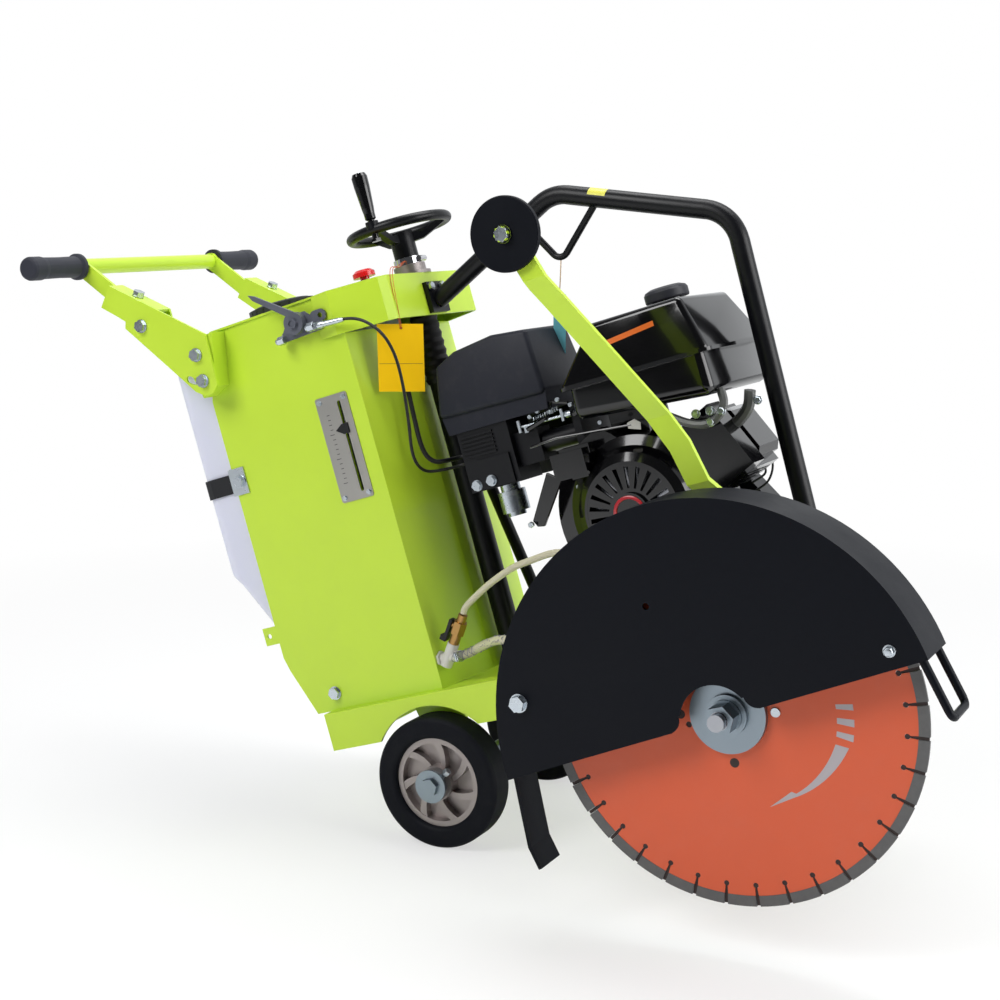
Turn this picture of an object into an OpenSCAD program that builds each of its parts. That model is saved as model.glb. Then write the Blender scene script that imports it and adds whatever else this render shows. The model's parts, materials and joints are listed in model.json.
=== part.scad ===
// Walk-behind concrete saw, millimetres. X points forward, Y to the machine's left, Z up.
// The chassis is drawn level about the rear axle and then pitched nose-up, the way it stands when parked.

/* [Stance] */
// Nose-up pitch of the chassis while it stands parked, in degrees
pitch = 17; // [15:0.5:18]
// Level distance from the rear axle to the front axle
wheelbase = 400; // [385:5:410]
// Radius of the rear wheels
wheel_r = 100; // [98:1:103]
// Width of a rear wheel
wheel_w = 50; // [40:1:55]
// Radius of the front wheels
front_wheel_r = 75; // [70:1:77]
// Width of a front wheel
front_wheel_w = 42; // [34:1:48]
// Distance between the middles of the front wheels
front_track = 176; // [172:1:180]
// From the machine's middle to the outer face of a rear wheel
rear_face = 200; // [196:1:204]

/* [Deck] */
// Half width of the deck
deck_half = 180; // [176:1:184]
// Deck length behind the rear axle
deck_rear = 176; // [170:1:185]
// Deck length in front of the rear axle
deck_front = 645; // [640:1:660]
// Height of the deck's top above the rear axle
deck_top = 131; // [129:1:136]
// Depth of the deck's side skirts
deck_depth = 58; // [50:1:62]
// Thickness of the deck plate
deck_t = 5; // [4:0.5:6]
// Height of the engine's mounting rails
rail_h = 50; // [46:1:54]

/* [Tower] */
// Half width of the tower
tower_half = 160; // [157:1:164]
// Rear edge of the tower behind the rear axle
tower_rear = 236; // [232:1:240]
// Front corner of the tower in front of the rear axle
tower_front = 32; // [28:1:33]
// Middle of the tower's front in front of the rear axle
tower_nose = 54; // [50:1:55]
// Height of the tower's rim above the rear axle
tower_rim = 745; // [740:1:750]
// Thickness of the tower's sheet
sheet = 3; // [2.5:0.5:4]
// Front face of the head box in front of the rear axle
head_front = 106; // [105:1:112]
// Half width of the head box's front face
head_half = 130; // [126:1:134]
// Height of the head box
head_h = 64; // [58:1:68]

/* [Water tank] */
// How far the tank stands out behind the tower
tank_out = 62; // [50:1:68]
// Diameter of the tank's filler cap
tank_cap_d = 110; // [90:1:114]

/* [Handle] */
// Distance from the handle's tilting bolt to its crossbar
handle_reach = 276; // [260:1:290]
// Diameter of the crossbar
crossbar_d = 25; // [22:0.5:28]
// Length of one grip
grip_l = 117; // [105:1:119]
// How far the handle can be tilted down, in degrees
handle_tilt = 38; // [30:1:40]

/* [Lift] */
// Diameter of the lift tube
lift_tube_d = 36; // [34:0.5:37]
// Diameter of the lift screw
screw_d = 20; // [16:0.5:22]
// Middle of the lift tube in front of the rear axle
screw_x = 78; // [77:0.5:79]
// Lift arm's pivot in front of the rear axle
arm_x = 190; // [186:1:194]
// Lift arm's pivot above the rear axle
arm_z = 40; // [37:1:42]
// Swing of the lift arm from parked to full cutting depth, in degrees
arm_swing = 45; // [40:1:45.5]
// Radius of the handwheel's rim
handwheel_r = 76; // [70:1:80]

/* [Blade] */
// Diameter of the blade
blade_d = 500; // [490:2:504]
// Thickness of the blade's steel core
core_t = 3; // [2.6:0.1:3.4]
// Thickness of a diamond segment
seg_t = 4; // [3.6:0.1:4.6]
// Height of a diamond segment
seg_h = 14; // [10:0.5:16]
// Number of segments round the blade
seg_n = 36; // [30:1:40]
// Distance from the machine's middle to the blade
blade_y = 360; // [357:1:363]
// Arbor in front of the rear axle
arbor_x = 555; // [553:1:560]
// Arbor above the rear axle
arbor_z = 58; // [55:0.5:59]
// Diameter of the arbor at the blade
arbor_d = 25.4; // [25.4:0.2:26]
// Diameter of the blade's flanges
flange_d = 100; // [94:1:104]

/* [Blade guard] */
// Gap between the blade's rim and the guard's round edge
guard_clear = 44; // [40:1:48]
// Width of the guard across its two plates
guard_w = 88; // [84:1:92]
// Thickness of the guard's sheet
guard_t = 3; // [2.5:0.5:4]
// Tilt of the guard's lower edge against the deck, in degrees
guard_tilt = 5.5; // [4.5:0.5:6]

/* [Guide arm] */
// Diameter of the guide wheel
guide_d = 98; // [90:1:102]
// Width of the guide arm's flat bar
guide_w = 30; // [28:1:34]
// Thickness of the guide arm's flat bar
guide_t = 8; // [6:0.5:9]

/* [Engine] */
// Crankshaft in front of the rear axle
crank_x = 398; // [395:1:401]
// Crankshaft above the rear axle
crank_z = 319; // [316:1:322]
// Radius of the recoil starter's housing
recoil_r = 92; // [88:1:94]
// Slots round the recoil starter's housing
recoil_slots = 22; // [16:1:26]

/* [Lifting frame] */
// Diameter of the lifting frame's tube
frame_d = 28; // [25:0.5:30]

/* [Hidden] */
$fn = 48;

// Colours as the photograph shows them
lime = [0.77, 0.88, 0.28];
black = [0.08, 0.08, 0.10];
charcoal = [0.20, 0.21, 0.25];
zinc = [0.72, 0.76, 0.80];
steel = [0.60, 0.60, 0.62];
milky = [0.80, 0.82, 0.90];
blade_red = [0.80, 0.37, 0.28];
cast_grey = [0.55, 0.52, 0.52];

// Place of the rear axle in the finished model, which puts the origin under the middle of the whole saw
axle_x = -62.73;
middle_y = 59.43;

fit = 0.05;      // radial clearance of a running fit
gap = 0.5;       // clearance between pieces that move past each other
hole_gap = 0.6;  // radial clearance of a bolt hole

// Lift linkage
axle_run = wheelbase;
axle_drop = front_wheel_r - wheel_r;
front_x = axle_run * cos(pitch) + axle_drop * sin(pitch);
front_z = -axle_run * sin(pitch) + axle_drop * cos(pitch);
arm_shaft_d = 24;
arm_half = 48;          // middle of each lift arm plate from the machine's middle
arm_t = 10;
lever_l = arm_x - screw_x + 4;
lever_up = arm_swing / 2;
lever_z = arm_z + lever_l * sin(lever_up);
lever_x = arm_x - lever_l * cos(lever_up);
lever_pin_d = 14;
front_axle_d = 20;
rear_axle_d = 20;

// Tower and head box
head_z = tower_rim - head_h;
gauge_x = -22;
gauge_z = 518;
gauge_w = 58;
gauge_l = 162;
slot_x = 12;            // gauge slot's offset from the plate's middle
slot_w = 6;
slot_l = 140;
pointer_z = 545;

// Handle
hinge_x = -212;
hinge_z = tower_rim - 29;
slot_r = 41;            // radius of the arc slot about the tilting bolt
handle_angle = 134.6;   // direction from the tilting bolt to the crossbar
bracket_d = 34;         // how far the handle bracket stands out of the tower
handle_x = hinge_x + handle_reach * cos(handle_angle);
handle_z = hinge_z + handle_reach * sin(handle_angle);
sleeve_y = tower_half + bracket_d + 1 + gap;
sleeve_t = 4;
bar_t = 6;
bar_h = 26;

// Blade, guard and guide
gullet_r = blade_d / 2 - 27.4;
guard_in_y = blade_y - guard_w / 2;
guard_out_y = blade_y + guard_w / 2;
guard_r = blade_d / 2 + guard_clear;
hinge_r = blade_d / 2 + 22.4;
guard_hinge = [-0.938 * hinge_r, 0.3466 * hinge_r];     // rear bolt from the arbor, in the guard's own frame
guard_centre = [-18, -11];  // middle of the guard's round edge from the arbor
guard_chord = 2;            // height of the guard's lower edge above the arbor
guard_pin_d = 12;
guide_x = 606;
guide_z = 105;
guide_y = 256;              // plane of the guide arm's lower part
guide_pin_d = 14;

// Engine and drive
engine_base = deck_top + rail_h;
belt_y = 142;
pulley_w = 40;
crank_pulley_r = 52;
arbor_pulley_r = 46;
crank_r = 12.5;
arbor_shaft_d = 30;
bore_y = [30 - deck_half, 38];   // middles of the two arbor bearings
nut_face = -blade_y - 42;   // outer face of the arbor's nut
thread_r = 12;              // arbor's radius inside the nut
stub_r = 11;                // arbor's free end
stub_l = 10;
groove_w = 1.5;

// ---------- helpers ----------

// The chassis frame: origin on the rear axle, level with the deck
module chassis() translate([axle_x, middle_y, wheel_r]) rotate([0, -pitch, 0]) children();

// Extrudes an outline drawn in X and Z from y0 to y1
module slab(y0, y1) translate([0, y1, 0]) rotate([90, 0, 0]) linear_extrude(y1 - y0) children();

// Round bar along Y
module bar(x, z, r, y0, y1) translate([x, y1, z]) rotate([90, 0, 0]) cylinder(r = r, h = y1 - y0);

// Hexagonal bar along Y, given across its flats
module hex_bar(x, z, flats, y0, y1)
    translate([x, y1, z]) rotate([90, 0, 0]) cylinder(d = flats / cos(30), h = y1 - y0, $fn = 6);

// Box from two opposite corners
module block(a, b) translate(a) cube(b - a);

// Rounded rectangle about the origin
module rounded(w, h, r) {
    square([w, h - 2 * r], center = true);
    square([w - 2 * r, h], center = true);
    for (x = [-1, 1], y = [-1, 1]) translate([x * (w / 2 - r), y * (h / 2 - r)]) circle(r);
}

// Slot with round ends, along the first axis
module slot(l, w) {
    square([l - w, w], center = true);
    for (s = [-1, 1]) translate([s * (l - w) / 2, 0]) circle(w / 2);
}

// Bolt head with its washer on a face across Y; side -1 faces the machine's right
module bolt_head(x, z, y, side, d) {
    w = d * 0.16;
    h = d * 0.62;
    y1 = y + side * w;
    y2 = y1 + side * h;
    bar(x, z, d * 1.05, min(y, y1), max(y, y1));
    hex_bar(x, z, d * 1.6, min(y1, y2), max(y1, y2));
}

function unit(v) = v / norm(v);
function left_of(a, b) = let (u = unit(b - a)) [-u[1], u[0]];
function miter(p, i, t) =
    i == 0 ? p[0] + t * left_of(p[0], p[1])
    : i == len(p) - 1 ? p[i] + t * left_of(p[i - 1], p[i])
    : let (a = left_of(p[i - 1], p[i]), b = left_of(p[i], p[i + 1])) p[i] + t * (a + b) / (1 + a * b);

// Outline of a bent sheet: a line of points thickened by t to its left
function thicken(p, t) = concat(p, [for (i = [len(p) - 1:-1:0]) miter(p, i, t)]);

// Outline of a flat bar of width w about a line of points
function strip(p, w) = concat([for (i = [0:len(p) - 1]) miter(p, i, w / 2)],
    [for (i = [len(p) - 1:-1:0]) miter(p, i, -w / 2)]);

function heading(a, b) = atan2(b[1] - a[1], b[0] - a[0]);
function turn(p, i) = let (t = heading(p[i], p[i + 1]) - heading(p[i - 1], p[i]))
    t > 180 ? t - 360 : t < -180 ? t + 360 : t;
function trim(p, i, bend) = i == 0 || i == len(p) - 1 ? 0 : bend * tan(abs(turn(p, i)) / 2);

// The same points with both ends moved outwards by e
function stretch(p, e) = let (n = len(p) - 1) [for (i = [0:n])
    i == 0 ? p[0] + e * unit(p[0] - p[1]) : i == n ? p[n] + e * unit(p[n] - p[n - 1]) : p[i]];

// Round rod bent along points in the XY plane; its straight lengths run 1 mm into the bends
module bent_rod(p, r, bend) {
    for (i = [0:len(p) - 2]) {
        u = unit(p[i + 1] - p[i]);
        a = p[i] + u * (trim(p, i, bend) - (i > 0 ? 1 : 0));
        b = p[i + 1] - u * (trim(p, i + 1, bend) - (i < len(p) - 2 ? 1 : 0));
        translate([a[0], a[1], 0]) rotate([0, 0, heading(a, b)]) rotate([0, 90, 0])
            cylinder(r = r + 0.2, h = norm(b - a));
    }
    for (i = [1:1:len(p) - 2]) {
        t = turn(p, i);
        u = unit(p[i] - p[i - 1]);
        s = sign(t);
        c = p[i] - u * trim(p, i, bend) + s * bend * [-u[1], u[0]];
        start = heading(p[i - 1], p[i]) - s * 90 + min(t, 0);
        translate([c[0], c[1], 0]) rotate([0, 0, start]) rotate_extrude(angle = abs(t)) translate([bend, 0]) circle(r);
    }
}

// Hose or cable: a tube of round section swept along smoothed points
function spline(a, b, c, d, t) =
    0.5 * (2 * b + (c - a) * t + (2 * a - 5 * b + 4 * c - d) * t * t + (3 * b - a - 3 * c + d) * t * t * t);
function smooth(p, k) = let (n = len(p)) concat(
    [for (i = [0:n - 2], j = [0:k - 1])
        spline(p[max(i - 1, 0)], p[i], p[i + 1], p[min(i + 2, n - 1)], j / k)],
    [p[n - 1]]);
function carry(t, i, n) = i >= len(t) ? [] : let (m = unit(n - (n * t[i]) * t[i])) concat([m], carry(t, i + 1, m));
module hose(points, r, k, sides = 8) {
    p = smooth(points, k);
    n = len(p);
    t = [for (i = [0:n - 1]) unit(p[min(i + 1, n - 1)] - p[max(i - 1, 0)])];
    a = carry(t, 0, unit(cross(t[0], [0.31, 0.52, 0.80])));
    rings = [for (i = [0:n - 1], j = [0:sides - 1])
        p[i] + r * (cos(j * 360 / sides) * a[i] + sin(j * 360 / sides) * cross(t[i], a[i]))];
    walls = [for (i = [0:n - 2], j = [0:sides - 1]) let (k2 = (j + 1) % sides)
        [i * sides + j, (i + 1) * sides + j, (i + 1) * sides + k2, i * sides + k2]];
    polyhedron(rings, concat(
        walls, [[for (j = [0:sides - 1]) j]], [[for (j = [sides - 1:-1:0]) (n - 1) * sides + j]]));
}

// ---------- deck, tower and head ----------

module deck_frame() color(lime) chassis() {
    inner = deck_half - deck_t;
    belt_edge = 100;   // the deck's left edge beside the belts
    belt_from = 320;
    difference() {
        union() {
            block([-deck_rear, -deck_half, deck_top - deck_t], [belt_from, deck_half, deck_top]);
            block([belt_from, -deck_half, deck_top - deck_t], [deck_front, belt_edge, deck_top]);
            for (y = [-deck_half, inner])
                block([-deck_rear, y, deck_top - deck_depth],
                    [y < 0 ? deck_front : belt_from, y + deck_t, deck_top - deck_t]);
            block([-deck_rear, -inner, deck_top - deck_depth], [deck_t - deck_rear, inner, deck_top - deck_t]);
            block([deck_front - deck_t, -inner, deck_top - deck_depth],
                [deck_front, belt_edge, deck_top - deck_t]);
            block([belt_from - deck_t, belt_edge - deck_t, deck_top - deck_depth],
                [belt_from, inner, deck_top - deck_t]);
        }
        bar(0, 0, wheel_r + 14, -deck_half - 1, -rear_face + wheel_w + 20);
        bar(0, 0, wheel_r + 14, rear_face - wheel_w - 20, deck_half + 1);
        translate([screw_x, 0, 0]) cylinder(d = lift_tube_d + 10, h = deck_top + 1);
        bar(arbor_x, arbor_z, arbor_shaft_d / 2 + 6, -deck_half - 1, -inner + 1);
    }
    for (y = [-100, 70]) rail(y);
    for (s = [-1, 1]) {
        axle_lug(s * 126);
        lift_lug(s * 108);
    }
    guide_hinge_plate();
}

// Engine rail: a hat section welded to the deck
module rail(y) block([270, y, deck_top], [520, y + 30, engine_base]);

// Plate under the deck that carries the rear axle
module axle_lug(y) slab(y - 4, y + 4) difference() {
    polygon([[-48, deck_top - deck_t], [48, deck_top - deck_t], [20, -14], [-20, -14]]);
    circle(d = rear_axle_d);
}

// Plate under the deck that carries the lift shaft
module lift_lug(y) slab(y - 4, y + 4) difference() {
    polygon([[arm_x - 60, deck_top - deck_t], [arm_x + 60, deck_top - deck_t],
        [arm_x + 22, arm_z - 18], [arm_x - 22, arm_z - 18]]);
    translate([arm_x, arm_z]) circle(d = arm_shaft_d);
}

// Plate on the deck's side that carries the guide arm's pin
module guide_hinge_plate() slab(-guide_y + guide_t / 2 + 1, -deck_half) difference() {
    translate([guide_x, guide_z]) square([44, 44], center = true);
    translate([guide_x, guide_z]) circle(d = guide_pin_d);
}

tower_plan = [
    [-tower_rear + 28, -tower_half + 12], [-tower_rear, -tower_half + 12], [-tower_rear, -tower_half],
    [tower_front, -tower_half], [tower_nose, -34], [tower_nose, 34], [tower_front, tower_half],
    [-tower_rear, tower_half], [-tower_rear, tower_half - 12], [-tower_rear + 28, tower_half - 12]
];

module tower_shell() color(lime) chassis() {
    plan = [for (i = [2:7]) tower_plan[i]];
    difference() {
        translate([0, 0, deck_top]) linear_extrude(tower_rim - deck_top) polygon(thicken(plan, sheet));
        // cut back at the foot, under the handle and above the head box's floor
        slab(-tower_half - 1, tower_half + 1) {
            polygon([[-tower_rear - 1, deck_top - 1], [-200, deck_top - 1], [-tower_rear + 6, 206],
                [-tower_rear - 1, 232]]);
            polygon([[-tower_rear - 1, tower_rim - 105], [-204, tower_rim + 1], [-tower_rear - 1, tower_rim + 1]]);
        }
        slab(-tower_half - 1, tower_half + 1)
            polygon([[-8, tower_rim + 1], [-8, head_z + 30], [20, head_z], [tower_nose + 1, head_z],
                [tower_nose + 1, tower_rim + 1]]);
        // depth scale's slot
        slab(-tower_half - 1, -tower_half + sheet + 1)
            translate([gauge_x + slot_x, gauge_z]) rotate(90) slot(slot_l, slot_w);
    }
    // lugs on the rear edges
    for (s = [-1, 1]) slab(s > 0 ? tower_half - sheet : -tower_half, s > 0 ? tower_half : sheet - tower_half)
        difference() {
            translate([-tower_rear - 25, 252]) square([26, 28]);
            translate([-tower_rear - 15, 266]) circle(4);
        }
    // deck flanges
    for (s = [-1, 1])
        block([-190, s > 0 ? tower_half - 30 : -tower_half + sheet, deck_top],
            [tower_front - 12, s > 0 ? tower_half - sheet : -tower_half + 30, deck_top + sheet]);
}

head_plan = [
    [-8, -tower_half - sheet], [24, -tower_half - 8], [head_front - 9, -head_half - 6],
    [head_front, -head_half + 6], [head_front, head_half - 6], [head_front - 9, head_half + 6],
    [24, tower_half + 8], [-8, tower_half + sheet]
];

module tower_head() color(lime) chassis() difference() {
    union() {
        // side wall of the head box, with its folded lower lip
        translate([0, 0, head_z]) linear_extrude(head_h) polygon(thicken(head_plan, sheet));
        translate([0, 0, head_z]) linear_extrude(sheet) polygon(thicken(
            [for (i = [1:6]) head_plan[i]], 5));
        // top plate with its rim
        translate([0, 0, tower_rim]) linear_extrude(sheet) difference() {
            polygon(concat([[-204, -tower_half - sheet]], head_plan, [[-204, tower_half + sheet]]));
            translate([tank_cap_x, tank_cap_y]) circle(d = tank_cap_d - 14);
            translate([screw_x, 0]) circle(d = screw_d + 12);
            translate([button_x, button_y]) circle(button_stem + gap);
        }
    }
    bracket_bolt_hole(bracket_bolt_z);
}

module bracket_bolt_hole(z)
    for (y = [-17, 17]) translate([head_front - 8, y, z]) rotate([0, 90, 0]) cylinder(r = 4 + hole_gap, h = 20);

bracket_bolt_z = head_z + 42;

module gauge_plate() color(steel) chassis()
    slab(-tower_half - 1.5, -tower_half) difference() {
        translate([gauge_x, gauge_z]) rounded(gauge_w, gauge_l, 4);
        translate([gauge_x + slot_x, gauge_z]) rotate(90) slot(slot_l, slot_w);
    }

// The pointer's shank runs in the slot, with a block behind the plate
module depth_pointer() color(black) chassis() {
    x = gauge_x + slot_x;
    slab(-tower_half - 3.5, -tower_half - 2) polygon([[x - 17, pointer_z], [x - 4, pointer_z + 8],
        [x + 6, pointer_z + 8], [x + 6, pointer_z - 8], [x - 4, pointer_z - 8]]);
    block([x - 2, -tower_half - 2, pointer_z - 5], [x + 2, -tower_half + sheet + 1, pointer_z + 5]);
    block([x - 9, -tower_half + sheet + 1, pointer_z - 9], [x + 9, -tower_half + sheet + 9, pointer_z + 9]);
}

// ---------- water tank ----------

tank_cap_x = -150;
tank_cap_y = -28;
tank_half = tower_half - sheet - 4;
tank_back = tower_rear + tank_out;
tank_top = tower_rim - 15;

module water_tank() color(milky) chassis() {
    intersection() {
        slab(-tank_half, tank_half) tank_side();
        translate([(-tank_back - 48) / 2, 0, 150]) linear_extrude(600)
            rounded(tank_back - 32, 2 * tank_half, 26);
    }
    translate([tank_cap_x, tank_cap_y, tank_top - 1]) cylinder(d = tank_cap_d - 18, h = tower_rim + sheet + 5 - tank_top);
}

module tank_side() {
    polygon([[-tank_back + 16, tank_top], [-tank_back, tank_top - 22], [-tank_back - 8, tank_top - 190],
        [-tank_back - 8, 400], [-tank_back + 2, 372],
        [-tower_rear - 44, 356], [-tower_rear + 2, 272], [-150, 196], [-60, 168], [-40, 180], [-40, tank_top]]);
}

module tank_cap() color(black) chassis() translate([tank_cap_x, tank_cap_y, tower_rim + sheet + 4 + fit]) {
    knurl = 24;
    difference() {
        cylinder(d = tank_cap_d, h = 17);
        for (a = [0:360 / knurl:359]) rotate(a) translate([tank_cap_d / 2 + 1, 0, -1]) cylinder(r = 2.6, h = 15);
    }
    translate([0, 0, 17]) cylinder(d1 = tank_cap_d - 8, d2 = tank_cap_d - 20, h = 3);
}

strap_z = 512;
strap_h = 30;
module tank_strap() color(black) chassis() translate([0, 0, strap_z - strap_h / 2]) linear_extrude(strap_h) {
    e = tank_half + 0.2;
    b = -tank_back - 8.2;
    c = [b + 26.2, e - 26.2];
    arc = [for (a = [11.25:22.5:80]) 26.9 * [cos(a), sin(a)]];
    near = [for (p = arc) [c[0] - p[1], -c[1] - p[0]]];
    polygon(thicken(concat([[-tower_rear - 2, -e]], near, [for (i = [3:-1:0]) [near[i][0], -near[i][1]]],
        [[-tower_rear - 2, e]]), 2.5));
}

// ---------- handle ----------

module handle_brackets() color(lime) chassis() for (s = [-1, 1]) {
    y_in = s > 0 ? tower_half : -tower_half - bracket_d;
    y_out = s > 0 ? tower_half + bracket_d : -tower_half;
    web = s > 0 ? y_out - 4 : y_in;
    difference() {
        union() {
            slab(web, web + 4) bracket_side();
            slab(y_in, y_out) translate([hinge_x, hinge_z]) polygon(thicken([[34, 26], [16, -54], [-12, -66]], -4));
        }
        for (p = [[hinge_x, hinge_z], [hinge_x, hinge_z - slot_r]])
            bar(p[0], p[1], 5, web - 1, web + 5);
    }
}

module bracket_side() translate([hinge_x, hinge_z])
    polygon([[34, 26], [-24, 26], [-26, -16], [-12, -66], [16, -54]]);

// Tilting bolts and slot bolts stay on the tower's brackets
module handle_pins() for (s = [-1, 1]) {
    a = tower_half + bracket_d - 8;
    b = sleeve_y + sleeve_t;
    for (p = [[hinge_x, hinge_z], [hinge_x, hinge_z - slot_r]]) {
        bar(p[0], p[1], 5 - fit, s > 0 ? a : -b - 0.5, s > 0 ? b + 0.5 : -a);
        bolt_head(p[0], p[1], s * (b + 0.5), s, 10);
        hex_bar(p[0], p[1], 16, s > 0 ? a - 4 : -a, s > 0 ? a : 4 - a);
    }
}

bar_y = sleeve_y - 26;
bar_line = [[handle_x, handle_z], [hinge_x - 141, hinge_z + 133], [hinge_x - 63, hinge_z + 49]];
grip_gap = 2.5;     // between a grip's flange and the flat bar beside it
handle_w = 2 * (bar_y + bar_t + grip_gap + grip_l);

module handle_sleeves() color(lime) chassis() for (s = [-1, 1]) {
    y0 = s > 0 ? sleeve_y : -sleeve_y - sleeve_t;
    flange_in = bar_y - sleeve_t - 0.3;
    difference() {
        union() {
            slab(y0, y0 + sleeve_t) translate([hinge_x, hinge_z]) polygon([[26, 26], [-44, 81], [-128, 147],
                [-154, 119], [-128, 97], [-115, 85], [-119, 75], [-39, -28], [-20, -53], [-4, -64],
                [10, -64], [23, -53]]);
            // folded top flange over the bar
            slab(s > 0 ? flange_in : -sleeve_y, s > 0 ? sleeve_y : -flange_in)
                translate([hinge_x, hinge_z]) polygon(thicken([[-128, 147], [-50, 86]], -4));
            // inner cheek
            slab(s > 0 ? flange_in : -flange_in - sleeve_t, s > 0 ? flange_in + sleeve_t : -flange_in)
                translate([hinge_x, hinge_z])
                    polygon([[-50, 86], [-128, 147], [-154, 119], [-126, 90], [-50, 46]]);
        }
        bar(hinge_x, hinge_z, 5 + fit, y0 - 1, y0 + sleeve_t + 1);
        for (a = [0, handle_tilt]) bar(hinge_x - slot_r * sin(a), hinge_z - slot_r * cos(a), 5.4,
            y0 - 1, y0 + sleeve_t + 1);
        slab(y0 - 1, y0 + sleeve_t + 1) arc_slot();
    }
}

// The arc slot about the tilting bolt
module arc_slot() translate([hinge_x, hinge_z]) intersection() {
    difference() {
        circle(slot_r + 5.4);
        circle(slot_r - 5.4);
    }
    polygon([[0, 0], [0, -90], [-90 * sin(handle_tilt / 2), -90 * cos(handle_tilt / 2)],
        [-90 * sin(handle_tilt), -90 * cos(handle_tilt)]]);
}

module handlebar() color(lime) chassis() {
    difference() {
        union() {
            bar(handle_x, handle_z, crossbar_d / 2, -handle_w / 2 + 5, handle_w / 2 - 5);
            for (s = [-1, 1]) slab(s > 0 ? bar_y : -bar_y - bar_t, s > 0 ? bar_y + bar_t : -bar_y)
                handle_flat();
        }
        bar(handle_x, handle_z, crossbar_d / 2 - 2.5, -handle_w / 2 + 3, handle_w / 2 - 3);
    }
}

module handle_flat() {
    translate([handle_x, handle_z]) circle(crossbar_d / 2 + 2);
    polygon(strip(bar_line, bar_h));
}

module handle_grips() color(charcoal) chassis() for (s = [-1, 1])
    translate([handle_x, s * handle_w / 2, handle_z]) rotate([s * 90, 0, 0]) rotate_extrude() {
        r = crossbar_d / 2 + 0.05;
        polygon([[0, 0], [14, 0], [17, 2], [18.5, 6], [18.5, 26], [17, 34], [16.4, 70], [17, grip_l - 10],
            [21, grip_l - 6], [21, grip_l], [r, grip_l], [r, 4.5], [0, 4.5]]);
    }

module handle_bolts() color(zinc) chassis() for (s = [-1, 1]) {
    out = sleeve_y + sleeve_t;
    in = bar_y + bar_t;
    p = [hinge_x - 87, hinge_z + 70];
    bolt_head(p[0], p[1], s * out, s, 10);
    bar(p[0], p[1], 7, s > 0 ? in : -sleeve_y, s > 0 ? sleeve_y : -in);
    // bolt through the top flange
    translate([hinge_x - 91, s * (sleeve_y - 12), hinge_z + 118.2]) rotate([0, 38, 0]) {
        translate([0, 0, 0.05]) cylinder(r = 9, h = 2);
        translate([0, 0, 2]) cylinder(d = 18.5, h = 7, $fn = 6);
    }
}

// ---------- wheels ----------

// Wheel pieces are turned about Y, centred on their own middle
module on_y(x, z, y) translate([x, y, z]) rotate([90, 0, 0]) children();

module tyre(r, rim_r, w) rotate_extrude() translate([(r + rim_r) / 2, 0]) rounded(r - rim_r, w, 8);

// Cast rim with swept spokes
module rim(r, w, hub_r, bore_r, spokes) difference() {
    union() {
        rotate_extrude() {
            translate([r - 4, 0]) square([8, w - 16], center = true);
            translate([(hub_r + bore_r) / 2, 0]) square([hub_r - bore_r, w - 4], center = true);
        }
        translate([0, 0, -3]) linear_extrude(6) difference() {
            circle(r - 7);
            circle(hub_r - 2);
        }
        for (i = [0:spokes - 1]) rotate(i * 360 / spokes) linear_extrude(w / 2 - 9)
            polygon(concat(
                [for (k = [0:4]) swept(hub_r - 4 + k * (r - hub_r) / 4, k * 7 - 9)],
                [for (k = [4:-1:0]) swept(hub_r - 4 + k * (r - hub_r) / 4, k * 7 + 7 - k)]));
    }
    translate([0, 0, -w]) cylinder(r = bore_r, h = 2 * w);
}

function swept(r, a) = r * [cos(a), sin(a)];

rear_y = rear_face - wheel_w / 2;
rim_r = wheel_r * 0.676;
module rear_tyre(s) on_y(0, 0, s * rear_y) tyre(wheel_r, rim_r, wheel_w);
module rear_rim(s) on_y(0, 0, s * rear_y) rotate([s > 0 ? 180 : 0, 0, 0])
    rim(rim_r, wheel_w, 26, rear_axle_d / 2 + fit, 7);
module rear_tyre_right() color(black) chassis() rear_tyre(-1);
module rear_tyre_left() color(black) chassis() rear_tyre(1);
module rear_rim_right() color(cast_grey) chassis() rear_rim(-1);
module rear_rim_left() color(cast_grey) chassis() rear_rim(1);

module front_wheel(s) color(black) chassis() on_y(front_x, front_z, s * front_track / 2) rotate_extrude() {
    difference() {
        translate([front_wheel_r / 2 + 8, 0]) rounded(front_wheel_r - 16, front_wheel_w, 7);
        for (e = [-1, 1]) translate([34, e * front_wheel_w / 2]) rounded(18, 16, 4);
    }
    translate([14 + fit / 2, 0]) square([8 - fit, front_wheel_w + 6], center = true);
}
module front_wheel_right() front_wheel(-1);
module front_wheel_left() front_wheel(1);

// Rear axle with its end collars, and the lift arm's shaft
module axle_shafts() color(zinc) chassis() {
    hub_end = rear_face - 2 + gap;
    bar(0, 0, rear_axle_d / 2, -hub_end - 16, hub_end + 16);
    for (s = [-1, 1]) {
        bar(0, 0, 17, s > 0 ? hub_end : -hub_end - 12, s > 0 ? hub_end + 12 : -hub_end);
        bar(0, 0, 25, s > 0 ? hub_end + 12 : -hub_end - 17, s > 0 ? hub_end + 17 : -hub_end - 12);
        hex_bar(0, 0, 24, s > 0 ? hub_end + 17 : -hub_end - 23, s > 0 ? hub_end + 23 : -hub_end - 17);
    }
    bar(arm_x, arm_z, arm_shaft_d / 2, -116, 116);
}

// ---------- lift ----------

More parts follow.
